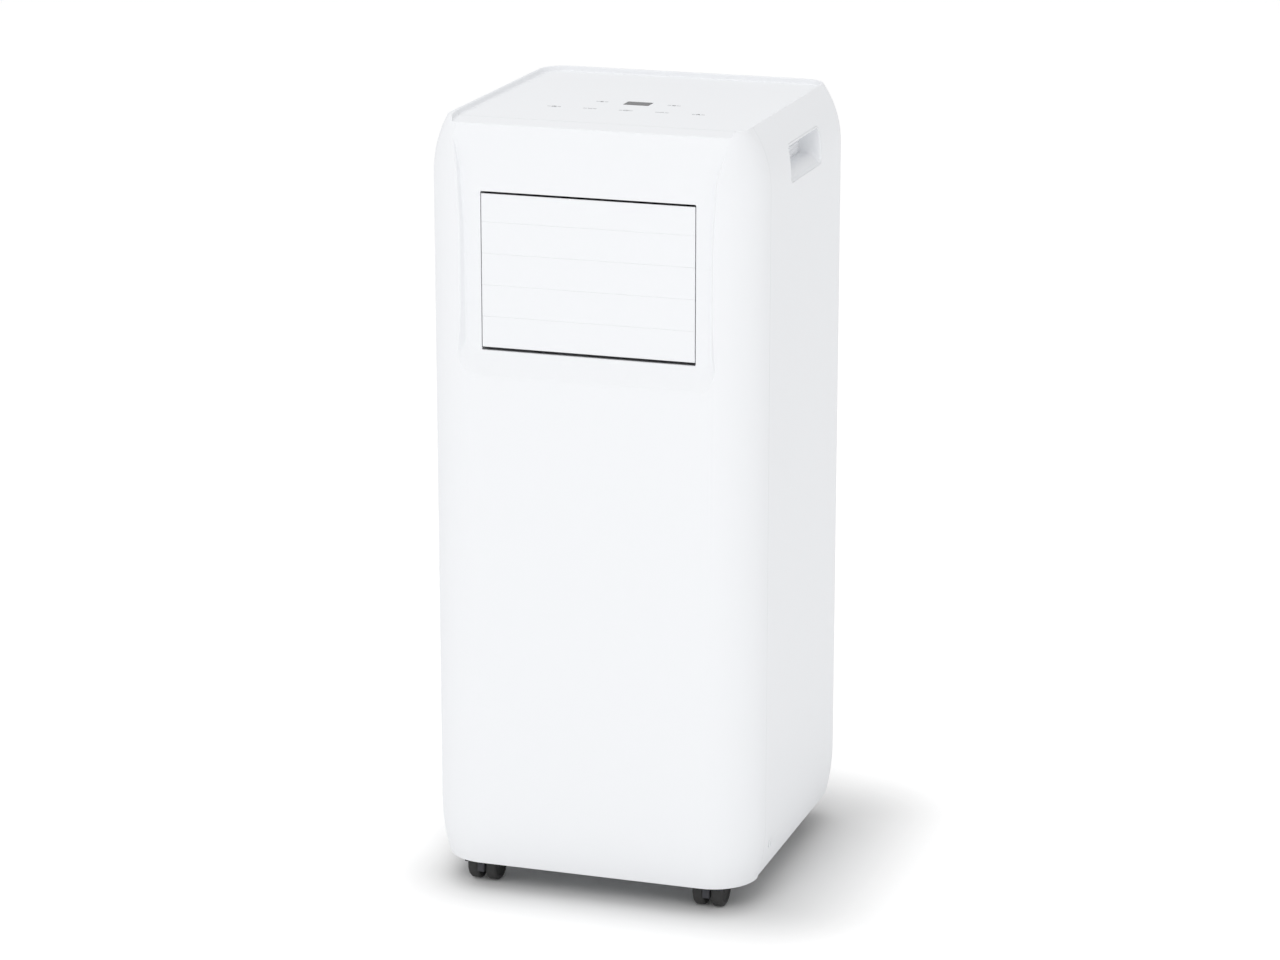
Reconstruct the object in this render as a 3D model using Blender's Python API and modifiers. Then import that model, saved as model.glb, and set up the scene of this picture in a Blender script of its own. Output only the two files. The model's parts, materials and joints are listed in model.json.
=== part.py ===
"""A portable air conditioner on castors, as an assembly of separate pieces.

Units are metres, +Z is up, the front faces -Y and the origin is on the floor under the cabinet's centre.
"""

import math

import bmesh
import bpy
from mathutils import Matrix, Vector

# Cabinet
WIDTH = 0.302
DEPTH = 0.297
HEIGHT = 0.700
WALL = 0.0025
SHELL_BOTTOM_Z = 0.024
REAR_SHELL_STEP = 0.0025
SEAM_Y = -0.100
FRONT_CORNER_R = 0.048
REAR_CORNER_R = 0.028
CREST_FRONT_R = 0.018
CREST_REAR_R = 0.024
SMALLEST_CORNER_R = 0.004
CORNER_STEPS = 6
SKIRT_HEIGHT = 0.050
SKIRT_INSET = 0.007
SHOULDER_HEIGHT = 0.055
SHOULDER_SIDE = 0.016
SHOULDER_FRONT = 0.0175
SHOULDER_REAR = 0.005
SHOULDER_POWER = 2.2
RIM_ROUND = 0.0013
GAP = 0.0003

# Recess that runs over the top and down the front
TOP_DROP = 0.005
RIM_WIDTH = 0.0035
FASCIA_DEPTH = 0.0085
ROLL_DROP = 0.039
ROLL_RUN = 0.009
FASCIA_HALF = 0.1124
NARROWING_START_Y = -0.090
NARROWING_END_Z = HEIGHT - 0.070
LEDGE_TOP_Z = HEIGHT - 0.204
LEDGE_DROP = 0.015
RECESS_CORNER_R = 0.012
RECESS_REAR_R = 0.020
RECESS_DRAFT = 0.003
RECESS_REACH = 0.020

# Top cover and controls
COVER_MARGIN = 0.002
COVER_CORNER_R = 0.018
COVER_FLANGE = 0.006
LENS_WIDTH = 0.023
LENS_DEPTH = 0.016
LENS_FLANGE = 0.0025
LENS_THICKNESS = 0.0010
LENS_FLANGE_THICKNESS = 0.0008
LENS_CORNER_R = 0.0012
BOARD_FRONT_SHARE = 0.66
MODULE_MARGIN = 0.001
BOARD_WIDTH = 0.176
BOARD_DEPTH = 0.083
BOARD_DROP = 0.011
BOARD_THICKNESS = 0.0016

# Louvre
LOUVRE_HALF = FASCIA_HALF - 0.0154
LOUVRE_BOTTOM_Z = HEIGHT - 0.202
LOUVRE_TOP_Z = HEIGHT - 0.062
BLADE_COUNT = 5
BLADE_PITCH = 0.0277
BLADE_SEAM = 0.0007
BLADE_FOOT = 0.0026
BLADE_HEAD_GAP = 0.0020
BLADE_SIDE_GAP = 0.0009
BLADE_THICKNESS = 0.0022
BLADE_AXIS_BACK = 0.0065
BLADE_PIN_R = 0.0018
BLADE_CURL = 0.0016
EAR_THICKNESS = 0.002
EAR_HALF_HEIGHT = 0.003
DUCT_WALL = 0.0025
DUCT_CLEARANCE = 0.001
DUCT_DEPTH = 0.054
CRANK_REACH = 0.012
CRANK_THICKNESS = 0.002
CRANK_HALF_WIDTH = 0.0026
LINK_THICKNESS = 0.002
LINK_PIN_R = 0.0013
LINK_HALF_WIDTH = 0.003
LOUVRE_MOTOR_R = 0.012
LOUVRE_MOTOR_DEPTH = 0.016
MOTOR_WING_THICKNESS = 0.001
MOTOR_WING_FRONT = 0.0012
MOTOR_WING_BACK = 0.006
MOTOR_BORE_SHARE = 0.75

# Handle cups
HANDLE_FRONT_Y = -0.039
HANDLE_REAR_Y = 0.060
HANDLE_BOTTOM_Z = HEIGHT - 0.060
HANDLE_TOP_Z = HEIGHT - 0.026
HANDLE_CORNER_R = 0.006
HANDLE_DEPTH = 0.026
HANDLE_WALL = 0.0018

# Castors
CASTOR_X = 0.106
CASTOR_Y = 0.106
CASTOR_TRAIL = 0.008
WHEEL_R = 0.017
WHEEL_WIDTH = 0.0100
AXLE_R = 0.0025
HOOD_CLEARANCE = 0.0010
HOOD_WALL = 0.0015
HOOD_WEB = 0.006
STEM_R = 0.004
STEM_REACH = 0.014
NECK_R = 0.0085
NECK_START_SHARE = 0.72
HOOD_SIDE_Z = 0.0035
HOOD_UNDER = 0.0025
RIM_DISH = 0.0015
RIM_DISH_SHARE = 0.72
AXLE_INSET = 0.003
CASTOR_REACH = 0.05

# Base pan
PAN_Z = 0.043
PAN_THICKNESS = 0.003
PAN_RIM_Z = 0.076
PAN_INSET = 0.0070
PAN_SHEET = 0.0015
BOSS_R = 0.009
BOSS_HEIGHT = 0.016

# Rear openings
UPPER_GRILLE_Z = (HEIGHT - 0.248, HEIGHT - 0.072)
LOWER_GRILLE_Z = (0.088, 0.268)
GRILLE_HALF = 0.108
GRILLE_CORNER_R = 0.006
GRILLE_THICKNESS = 0.0045
GRILLE_FRAME = 0.010
SLOT_PITCH = 0.0135
SLOT_HEIGHT = 0.0090
FILTER_THICKNESS = 0.002
EXHAUST_Z = 0.360
EXHAUST_FLANGE_R = 0.076
EXHAUST_BORE_R = 0.0645
COLLAR_WALL = 0.0025
COLLAR_DEPTH = 0.026
COLLAR_FLANGE = 0.004
DRAIN_X = -0.085
DRAIN_Z = 0.062
DRAIN_FLANGE_R = 0.012
DRAIN_CAP_R = 0.0085
DRAIN_BORE_R = 0.0055
DRAIN_DEPTH = 0.018
DRAIN_SEAT = 0.0045
TUBE_WALL = 0.002
EDGE_BREAK = 0.001
GLAND_X = 0.095
GLAND_Z = 0.062
GLAND_FLANGE_R = 0.011
GLAND_BORE_R = 0.0045
GLAND_DEPTH = 0.014

# Screws
SCREW_HEAD_R = 0.0032
SCREW_HEAD_HEIGHT = 0.0013
SCREW_SHAFT_R = 0.0014
SCREW_LENGTH = 0.010
SIDE_SCREW_Y = -0.079
SIDE_SCREW_Z = 0.049
DIMPLE_R = 0.0068
DIMPLE_FLOOR_R = 0.0045
DIMPLE_DEPTH = 0.0024
REAR_SCREW_X = 0.128
REAR_SCREW_Z = 0.300

# Cooling circuit
COMPRESSOR_X = -0.050
COMPRESSOR_Y = -0.030
COMPRESSOR_R = 0.048
COMPRESSOR_HEIGHT = 0.160
MOUNT_R = 0.009
MOUNT_HEIGHT = 0.010
MOUNT_RING_R = 0.062
FOOT_THICKNESS = 0.003
FOOT_RISE = 0.004
CAN_DOME = 0.024
CAN_SHOULDER = 0.010
CAN_CROWN = 0.002
CAN_BASE_BEND = 0.018
OUTLET_STUB = 0.006
ACCUMULATOR_RISE = 0.035
ACCUMULATOR_DOME = 0.014
BRACKET_HALF = 0.006
BRACKET_Z = (0.040, 0.060)
ACCUMULATOR_R = 0.019
ACCUMULATOR_HEIGHT = 0.105
ACCUMULATOR_SPACING = 0.074
COIL_HALF = 0.108
COIL_DEPTH = 0.024
COIL_BACK_Y = 0.133
CONDENSER_Z = (0.080, 0.272)
EVAPORATOR_Z = (HEIGHT - 0.241, HEIGHT - 0.073)
END_PLATE = 0.002
END_PLATE_STAND = 0.004
PIPE_R = 0.0032
CAPILLARY_R = 0.0015
DRIER_R = 0.0078
DRIER_LENGTH = 0.062
CORRIDOR_X = 0.1285
DRIER_X = 0.1370
DRIER_Y = 0.060
DRIER_RISE = 0.030
DRIER_NECK = 0.010
PIPE_BEND = 0.014
SMALL_BEND = 0.010
PORT_INSET = 0.020
LIQUID_PORT_RISE = 0.012
PIPE_DROP = 0.014

# Fans, decks and electrics
DECK_HALF = 0.114
DECK_THICKNESS = 0.0025
DECK_FRONT_Y = -0.092
DECK_REAR_Y = 0.134
DECK_Z = 0.280
FAN_HOUSING_HALF = 0.096
HOUSING_WALL = 0.002
EXHAUST_HOUSING_FRONT_Y = -0.080
EXHAUST_HOUSING_HEIGHT = 0.144
EXHAUST_FAN_R = 0.070
EXHAUST_FAN_HEIGHT = 0.055
COOL_FAN_R = 0.074
COOL_FAN_HEIGHT = 0.052
FAN_CLEARANCE = 0.006
INLET_R = 0.056
FAN_BLADES = 12
FAN_PLATE = 0.003
FAN_BLADE_THICKNESS = 0.0016
FAN_BLADE_MARGIN = 0.0007
HUB_R = 0.012
SHAFT_R = 0.003
SHAFT_CLEARANCE = 0.0006
MOTOR_R = 0.034
MOTOR_HEIGHT = 0.040
MOTOR_BOSS = 0.003
MOTOR_EDGE = 0.002
SHAFT_SHORT = 0.004
TRAY_Z = HEIGHT - 0.264
TRAY_HEIGHT = 0.018
TRAY_FRONT_Y = 0.092
TRAY_LIP = 0.004
COOL_HOUSING_BOTTOM_Z = HEIGHT - 0.239
COOL_HOUSING_TOP_Z = HEIGHT - 0.050
COOL_HOUSING_EXTRA = 0.006
BRACE_THICKNESS = 0.003
BRACE_HALF_HEIGHT = 0.010
BRACE_CLEARANCE = 0.008
POWER_BOX = (0.024, 0.080, 0.110)
POWER_BOX_Z = 0.300
ELECTRICS_CLEARANCE = 0.003
CAPACITOR_R = 0.0165
CAPACITOR_Y = -0.040
CAPACITOR_HEIGHT = 0.070

# Places that follow from the sizes above
FRONT_Y = -DEPTH / 2
REAR_Y = DEPTH / 2
HALF_WIDTH = WIDTH / 2
SHOULDER_Z = HEIGHT - SHOULDER_HEIGHT
TOP_Z = HEIGHT - TOP_DROP
FASCIA_Y = FRONT_Y + FASCIA_DEPTH
CREASE_Y = FASCIA_Y + ROLL_RUN
TOP_HALF = HALF_WIDTH - SHOULDER_SIDE - RIM_WIDTH
RECESS_REAR_Y = REAR_Y - SHOULDER_REAR - RIM_WIDTH
BLADE_AXIS_Y = FASCIA_Y + BLADE_AXIS_BACK
DUCT_FRONT_Y = FASCIA_Y + WALL + GAP
DUCT_REAR_Y = DUCT_FRONT_Y + DUCT_DEPTH
DUCT_HALF = LOUVRE_HALF + DUCT_CLEARANCE + DUCT_WALL
PAN_TOP_Z = PAN_Z + PAN_THICKNESS
COVER_FRONT_Y = SEAM_Y + GAP / 2
HOUSING_REAR_Y = COIL_BACK_Y - COIL_DEPTH - END_PLATE_STAND

parts = None
tools = None


# ---------------------------------------------------------------- scene set-up


def clear_scene():
    """Empty the scene and make the two collections."""
    global parts, tools
    for obj in list(bpy.data.objects):
        bpy.data.objects.remove(obj, do_unlink=True)
    parts = bpy.data.collections.new("portable_air_conditioner")
    tools = bpy.data.collections.new("cutters")
    for collection in (parts, tools):
        bpy.context.scene.collection.children.link(collection)


def material(name, colour, roughness, metallic=0.0):
    """A plain Principled material, made once for each name."""
    found = bpy.data.materials.get(name)
    if found:
        return found
    made = bpy.data.materials.new(name)
    made.use_nodes = True
    shader = made.node_tree.nodes["Principled BSDF"]
    shader.inputs["Base Color"].default_value = (*colour, 1.0)
    shader.inputs["Roughness"].default_value = roughness
    shader.inputs["Metallic"].default_value = metallic
    return made


FINISHES = {
    "white_plastic": ((0.86, 0.87, 0.89), 0.38, 0.0),
    "pale_plastic": ((0.80, 0.81, 0.83), 0.45, 0.0),
    "dark_window": ((0.05, 0.05, 0.06), 0.15, 0.0),
    "dark_plastic": ((0.045, 0.045, 0.05), 0.50, 0.0),
    "wheel_plastic": ((0.03, 0.03, 0.033), 0.42, 0.0),
    "black_rubber": ((0.02, 0.02, 0.02), 0.80, 0.0),
    "filter_mesh": ((0.10, 0.10, 0.11), 0.85, 0.0),
    "circuit_board": ((0.03, 0.22, 0.10), 0.45, 0.0),
    "galvanised_sheet": ((0.62, 0.64, 0.66), 0.42, 0.9),
    "black_enamel": ((0.02, 0.02, 0.022), 0.30, 0.0),
    "copper": ((0.80, 0.42, 0.27), 0.30, 1.0),
    "fin_aluminium": ((0.74, 0.76, 0.78), 0.40, 0.9),
    "zinc_steel": ((0.66, 0.67, 0.69), 0.32, 1.0),
}


def finish(name):
    """The named finish as a material."""
    return material(name, *FINISHES[name])


# ---------------------------------------------------------------- shape helpers


def closed_mesh(bm):
    """The bmesh as a mesh whose faces all point out."""
    bmesh.ops.recalc_face_normals(bm, faces=bm.faces[:])
    mesh = bpy.data.meshes.new("shape")
    bm.to_mesh(mesh)
    bm.free()
    return mesh


def boxes(*corners):
    """Separate closed boxes, each from its low and high corners."""
    bm = bmesh.new()
    for low, high in corners:
        low, high = Vector(low), Vector(high)
        place = Matrix.Translation((low + high) / 2) @ Matrix.Diagonal((*(high - low), 1.0))
        bmesh.ops.create_cube(bm, size=1.0, matrix=place)
    return closed_mesh(bm)


def rod(start, end, radius, far_radius=None, segments=24):
    """A closed cylinder or cone from one point to another."""
    start, end = Vector(start), Vector(end)
    turn = (end - start).to_track_quat("Z", "Y").to_matrix().to_4x4()
    bm = bmesh.new()
    bmesh.ops.create_cone(
        bm,
        cap_ends=True,
        segments=segments,
        radius1=radius,
        radius2=radius if far_radius is None else far_radius,
        depth=(end - start).length,
        matrix=Matrix.Translation((start + end) / 2) @ turn,
    )
    return closed_mesh(bm)


def group(meshes):
    """Separate closed shapes as one mesh, so that one step cuts them all."""
    bm = bmesh.new()
    for mesh in meshes:
        bm.from_mesh(mesh)
    return closed_mesh(bm)


def arc(cx, cy, radius, start, steps, sweep=math.pi / 2):
    """Points along an arc about (cx, cy)."""
    angles = [start + sweep * k / steps for k in range(steps + 1)]
    return [(cx + radius * math.cos(a), cy + radius * math.sin(a)) for a in angles]


def rounded_outline(x0, y0, x1, y1, radius, steps=4):
    """A rectangle with round corners, anticlockwise."""
    quarter = math.pi / 2
    points = arc(x1 - radius, y0 + radius, radius, -quarter, steps)
    points += arc(x1 - radius, y1 - radius, radius, 0.0, steps)
    points += arc(x0 + radius, y1 - radius, radius, quarter, steps)
    points += arc(x0 + radius, y0 + radius, radius, 2 * quarter, steps)
    return points


UPRIGHT = Matrix.Identity(4)
FACING_BACK = Matrix(((1, 0, 0, 0), (0, 0, 1, 0), (0, 1, 0, 0), (0, 0, 0, 1)))
FACING_RIGHT = Matrix(((0, 0, 1, 0), (1, 0, 0, 0), (0, 1, 0, 0), (0, 0, 0, 1)))


def mesh_of_curve(curve_object):
    """A curve's solid as a welded mesh. The curve is removed."""
    bpy.context.view_layer.update()
    graph = bpy.context.evaluated_depsgraph_get()
    mesh = bpy.data.meshes.new_from_object(curve_object.evaluated_get(graph))
    bpy.data.objects.remove(curve_object, do_unlink=True)
    bm = bmesh.new()
    bm.from_mesh(mesh)
    bmesh.ops.remove_doubles(bm, verts=bm.verts[:], dist=0.00001)
    bpy.data.meshes.remove(mesh)
    return closed_mesh(bm)


def plate(outline, low, high, facing=UPRIGHT):
    """A flat outline given a thickness, from low to high along the way it faces."""
    curve = bpy.data.curves.new("outline", "CURVE")
    curve.dimensions = "2D"
    curve.fill_mode = "BOTH"
    curve.extrude = (high - low) / 2
    spline = curve.splines.new("POLY")
    spline.points.add(len(outline) - 1)
    for point, (x, y) in zip(spline.points, outline):
        point.co = (x, y, 0.0, 1.0)
    spline.use_cyclic_u = True
    holder = bpy.data.objects.new("outline", curve)
    tools.objects.link(holder)
    mesh = mesh_of_curve(holder)
    mesh.transform(facing @ Matrix.Translation((0.0, 0.0, (low + high) / 2)))
    if facing.determinant() < 0:
        mesh.flip_normals()
    return mesh


def loft(rings):
    """A closed solid through rings of the same number of points."""
    bm = bmesh.new()
    rows = [[bm.verts.new(point) for point in ring] for ring in rings]
    for lower, upper in zip(rows, rows[1:]):
        for k in range(len(lower)):
            after = (k + 1) % len(lower)
            bm.faces.new((lower[k], lower[after], upper[after], upper[k]))
    bm.faces.new(rows[0])
    bm.faces.new(rows[-1])
    bmesh.ops.triangulate(bm, faces=bm.faces[:])
    return closed_mesh(bm)


def piece(name, mesh, look, at=(0.0, 0.0, 0.0)):
    """A named part whose mesh is given about the point `at`."""
    obj = bpy.data.objects.new(name, mesh)
    obj.location = at
    obj.data.materials.append(finish(look))
    obj.data.shade_smooth()
    obj.data.set_sharp_from_angle(angle=math.radians(30))
    parts.objects.link(obj)
    return obj


def turned(name, profile, look, at=(0.0, 0.0, 0.0), tilt=(0.0, 0.0, 0.0), steps=32, ring=False):
    """A turned part: radii and heights down its outer side, swept about its own Z axis."""
    mesh = bpy.data.meshes.new(name)
    edges = [(k, k + 1) for k in range(len(profile) - 1)]
    if ring:
        edges.append((len(profile) - 1, 0))
    mesh.from_pydata([(radius, 0.0, height) for radius, height in profile], edges, [])
    obj = bpy.data.objects.new(name, mesh)
    obj.location = at
    obj.rotation_euler = tilt
    obj.data.materials.append(finish(look))
    parts.objects.link(obj)
    screw = obj.modifiers.new("turn", "SCREW")
    screw.steps = steps
    screw.render_steps = steps
    screw.use_merge_vertices = True
    screw.merge_threshold = 0.00001
    screw.use_smooth_shade = True
    return obj


def combine(obj, operation, meshes):
    """Join, cut or keep shapes given in the part's own frame."""
    for mesh in meshes:
        if isinstance(mesh, bpy.types.Object):
            tool = mesh
        else:
            tool = bpy.data.objects.new(obj.name + "_tool", mesh)
            tool.location = obj.location
            tool.rotation_euler = obj.rotation_euler
            tools.objects.link(tool)
        tool.hide_render = True
        tool.display_type = "WIRE"
        boolean = obj.modifiers.new(operation.lower(), "BOOLEAN")
        boolean.operation = operation
        boolean.solver = "EXACT"
        boolean.object = tool


def join(obj, *meshes):
    """Join shapes to a part."""
    combine(obj, "UNION", meshes)


def cut(obj, *meshes):
    """Cut shapes from a part."""
    combine(obj, "DIFFERENCE", meshes)


def tool_object(name, mesh):
    """A cutter that has cuts of its own."""
    obj = bpy.data.objects.new(name, mesh)
    obj.hide_render = True
    obj.display_type = "WIRE"
    tools.objects.link(obj)
    return obj


def pipe(name, points, radius, look):
    """A bent pipe along its points."""
    curve = bpy.data.curves.new(name, "CURVE")
    curve.dimensions = "3D"
    curve.bevel_depth = radius
    curve.bevel_resolution = 2
    curve.use_fill_caps = True
    spline = curve.splines.new("POLY")
    spline.points.add(len(points) - 1)
    for point, place in zip(spline.points, points):
        point.co = (*place, 1.0)
    obj = bpy.data.objects.new(name, curve)
    obj.data.materials.append(finish(look))
    parts.objects.link(obj)
    return obj


def rounded_route(corners, radius, steps=3):
    """A route through corner points, each corner turned into a bend."""
    corners = [Vector(corner) for corner in corners]
    route = [corners[0]]
    for before, corner, after in zip(corners, corners[1:], corners[2:]):
        towards = (before - corner).normalized()
        away = (after - corner).normalized()
        reach = min(radius, (before - corner).length * 0.45, (after - corner).length * 0.45)
        start, end = corner + towards * reach, corner + away * reach
        for k in range(steps + 1):
            t = k / steps
            route.append(start * (1 - t) ** 2 + corner * 2 * t * (1 - t) + end * t**2)
    route.append(corners[-1])
    return route


# ---------------------------------------------------------------- cabinet form


def cabinet_ring(inset, lean, z):
    """The plan outline at one height: set in evenly, and leaning in by a share of the shoulder."""
    x = HALF_WIDTH - SHOULDER_SIDE * lean - inset
    y0 = FRONT_Y + SHOULDER_FRONT * lean + inset
    y1 = REAR_Y - SHOULDER_REAR * lean - inset
    front_r = FRONT_CORNER_R + (CREST_FRONT_R - FRONT_CORNER_R) * lean - inset
    rear_r = REAR_CORNER_R + (CREST_REAR_R - REAR_CORNER_R) * lean - inset
    front_r = max(front_r, SMALLEST_CORNER_R)
    rear_r = max(rear_r, SMALLEST_CORNER_R)
    quarter = math.pi / 2
    plan = arc(x - front_r, y0 + front_r, front_r, -quarter, CORNER_STEPS)
    plan += arc(x - rear_r, y1 - rear_r, rear_r, 0.0, CORNER_STEPS)
    plan += arc(-x + rear_r, y1 - rear_r, rear_r, quarter, CORNER_STEPS)
    plan += arc(-x + front_r, y0 + front_r, front_r, 2 * quarter, CORNER_STEPS)
    return [(px, py, z) for px, py in plan]


def cabinet_form(inward=0.0):
    """The cabinet's outer form as a solid, or the form set in by a wall."""
    rings = []
    if inward:
        rings.append(cabinet_ring(SKIRT_INSET + inward, 0.0, SHELL_BOTTOM_Z - SKIRT_HEIGHT / 2))
    skirt_steps = 3
    for k in range(skirt_steps + 1):
        rise = k / skirt_steps
        inset = SKIRT_INSET * (1 - rise) ** 2 + inward
        rings.append(cabinet_ring(inset, 0.0, SHELL_BOTTOM_Z + rise * SKIRT_HEIGHT))
    shoulder_steps = 6
    top = HEIGHT - inward
    for k in range(shoulder_steps + 1):
        rise = k / shoulder_steps
        z = SHOULDER_Z + rise * (top - RIM_ROUND - SHOULDER_Z)
        rings.append(cabinet_ring(inward, rise**SHOULDER_POWER, z))
    rings.append(cabinet_ring(RIM_ROUND + inward, 1.0, top))
    return loft(rings)


def shell_x_at(z):
    """Half the cabinet's width at a height in the shoulder or below it."""
    rise = max(0.0, (z - SHOULDER_Z) / (HEIGHT - RIM_ROUND - SHOULDER_Z))
    drop = max(0.0, 1 - (z - SHELL_BOTTOM_Z) / SKIRT_HEIGHT)
    return HALF_WIDTH - SHOULDER_SIDE * rise**SHOULDER_POWER - SKIRT_INSET * drop**2


def recess_half_width(y, z):
    """Half the recess's width: full between the rims, narrower down the front."""
    over_top = NARROWING_START_Y - max(y, CREASE_Y)
    down_front = max(0.0, TOP_Z - z)
    whole = (NARROWING_START_Y - CREASE_Y) + (TOP_Z - NARROWING_END_Z)
    travelled = min(1.0, (max(0.0, over_top) + down_front) / whole)
    ease = travelled * travelled * (3 - 2 * travelled)
    return TOP_HALF + (FASCIA_HALF - TOP_HALF) * ease


def recess_stations():
    """Round the recess from the rear: place, way out of the floor, way into the wall, half width."""
    stations = []
    corner_steps = 4
    for k in range(corner_steps + 1):
        angle = math.pi / 2 * (1 - k / corner_steps)
        y = RECESS_REAR_Y - RECESS_REAR_R * (1 - math.sin(angle))
        half = TOP_HALF - RECESS_REAR_R * (1 - math.cos(angle))
        stations.append(((y, TOP_Z), (0.0, 1.0), (math.sin(angle), -1.0), half))
    narrowing_steps = 4
    for k in range(narrowing_steps + 1):
        y = NARROWING_START_Y + (CREASE_Y - NARROWING_START_Y) * k / narrowing_steps
        stations.append(((y, TOP_Z), (0.0, 1.0), (0.0, -1.0), recess_half_width(y, TOP_Z)))
    roll_steps = 6
    for k in range(1, roll_steps + 1):
        angle = math.pi / 2 * k / roll_steps
        across, along = math.sin(angle), math.cos(angle)
        y = CREASE_Y - ROLL_RUN * across
        z = TOP_Z - ROLL_DROP * (1 - along)
        stations.append(((y, z), (-across, along), (across, -along), recess_half_width(y, z)))
    front_out, front_in = (-1.0, 0.0), (1.0, 0.0)
    ledge_z = LEDGE_TOP_Z + 3 * RECESS_CORNER_R
    stations.append(((FASCIA_Y, ledge_z), front_out, front_in, FASCIA_HALF))
    slope = Vector((-FASCIA_DEPTH, -LEDGE_DROP)).normalized()
    ledge_in = (1.0, (1 + slope.y) / slope.x)
    for k in range(corner_steps + 1):
        angle = math.pi / 2 * k / corner_steps
        z = LEDGE_TOP_Z + RECESS_CORNER_R * (1 - math.sin(angle))
        half = FASCIA_HALF - RECESS_CORNER_R * (1 - math.cos(angle))
        stations.append(((FASCIA_Y, z), slope, ledge_in, half))
    return stations


def recess_form(inward=0.0):
    """The solid that cuts the recess, or the one that keeps a wall behind it."""
    rings = []
    for (y, z), (out_y, out_z), (in_y, in_z), half in recess_stations():
        reach = RECESS_REACH / max(abs(out_y), abs(out_z))
        wide = half + inward
        far = wide + RECESS_DRAFT
        floor = (y + in_y * inward, z + in_z * inward)
        away = (floor[0] + out_y * reach, floor[1] + out_z * reach)
        rings.append([(-wide, *floor), (wide, *floor), (far, *away), (-far, *away)])
    return loft(rings)


# ---------------------------------------------------------------- cabinet parts


def cavity_tool():
    """The room inside the cabinet, with the recess's wall left standing."""
    cavity = tool_object("cavity", cabinet_form(WALL))
    cut(cavity, recess_form(WALL))
    return cavity


def cover_outline(margin):
    """The top cover's outline, set in by a margin: square at the seam, round at the rear."""
    half = TOP_HALF - COVER_MARGIN - margin
    y0, y1 = COVER_FRONT_Y + margin, RECESS_REAR_Y - COVER_MARGIN - margin
    rear_r = COVER_CORNER_R - margin
    points = [(-half, y0), (half, y0)]
    points += arc(half - rear_r, y1 - rear_r, rear_r, 0.0, 4)
    points += arc(-half + rear_r, y1 - rear_r, rear_r, math.pi / 2, 4)
    return points


def make_shells(cavity):
    """The front and rear shells, parted at the seam."""
    far = 1.0
    top_opening = plate(cover_outline(0.0), TOP_Z - 4 * WALL, TOP_Z + WALL)
    front = piece("front_shell", cabinet_form(), "white_plastic")
    cut(front, recess_form(), cavity, top_opening.copy())
    cut(front, boxes(((-far, SEAM_Y - GAP / 2, -far), (far, far, far))))
    opening_low = (-LOUVRE_HALF, FASCIA_Y - FASCIA_DEPTH, LOUVRE_BOTTOM_Z)
    opening_high = (LOUVRE_HALF, FASCIA_Y + 2 * WALL, LOUVRE_TOP_Z)
    cut(front, boxes((opening_low, opening_high)))

    rear = piece("rear_shell", cabinet_form(), "white_plastic")
    cut(rear, recess_form(), cavity, top_opening)
    bottom_z = SHELL_BOTTOM_Z + REAR_SHELL_STEP
    cut(rear, boxes(((-far, -far, -far), (far, SEAM_Y + GAP / 2, far))))
    cut(rear, boxes(((-far, -far, -far), (far, far, bottom_z))))
    cut(rear, *rear_wall_openings())
    for side in (-1, 1):
        cut(rear, handle_prism(side, 0.0, HALF_WIDTH - 3 * WALL - SHOULDER_SIDE, HALF_WIDTH + WALL))
        cut(rear, *dimple(side))


def rear_wall_openings():
    """What is cut through the rear wall."""
    low, high = REAR_Y - 2 * WALL, REAR_Y + WALL
    for z0, z1 in (UPPER_GRILLE_Z, LOWER_GRILLE_Z):
        outline = rounded_outline(-GRILLE_HALF, z0, GRILLE_HALF, z1, GRILLE_CORNER_R)
        yield plate(outline, low, high, FACING_BACK)
    yield rod((0.0, low, EXHAUST_Z), (0.0, high, EXHAUST_Z), EXHAUST_FLANGE_R + GAP, segments=48)
    yield rod((DRAIN_X, low, DRAIN_Z), (DRAIN_X, high, DRAIN_Z), DRAIN_FLANGE_R + GAP)
    yield rod((GLAND_X, low, GLAND_Z), (GLAND_X, high, GLAND_Z), GLAND_FLANGE_R + GAP)
    for side in (-1, 1):
        x = side * REAR_SCREW_X
        yield rod((x, low, REAR_SCREW_Z), (x, high, REAR_SCREW_Z), SCREW_SHAFT_R + GAP, segments=16)
        seat_y = REAR_Y - SCREW_HEAD_HEIGHT - GAP
        yield rod((x, seat_y, REAR_SCREW_Z), (x, high, REAR_SCREW_Z), SCREW_HEAD_R + GAP, segments=16)


def dimple(side):
    """The sunk seat and the hole of a side screw."""
    surface = shell_x_at(SIDE_SCREW_Z)
    seat, outside, inside = surface - DIMPLE_DEPTH / 2, surface + DIMPLE_DEPTH / 2, surface - 3 * WALL
    spread = DIMPLE_R + (DIMPLE_R - DIMPLE_FLOOR_R)
    place = (SIDE_SCREW_Y, SIDE_SCREW_Z)
    yield rod((side * seat, *place), (side * outside, *place), DIMPLE_FLOOR_R, spread)
    yield rod((side * inside, *place), (side * outside, *place), SCREW_SHAFT_R + GAP, segments=16)


def handle_outline(margin):
    """The handle opening's outline in Y and Z, set in by a margin."""
    low = (HANDLE_FRONT_Y + margin, HANDLE_BOTTOM_Z + margin)
    high = (HANDLE_REAR_Y - margin, HANDLE_TOP_Z - margin)
    return rounded_outline(*low, *high, HANDLE_CORNER_R - margin)


def handle_prism(side, margin, near, far):
    """The handle opening's outline swept through one side wall."""
    low, high = sorted((side * near, side * far))
    return plate(handle_outline(margin), low, high, FACING_RIGHT)


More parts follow.
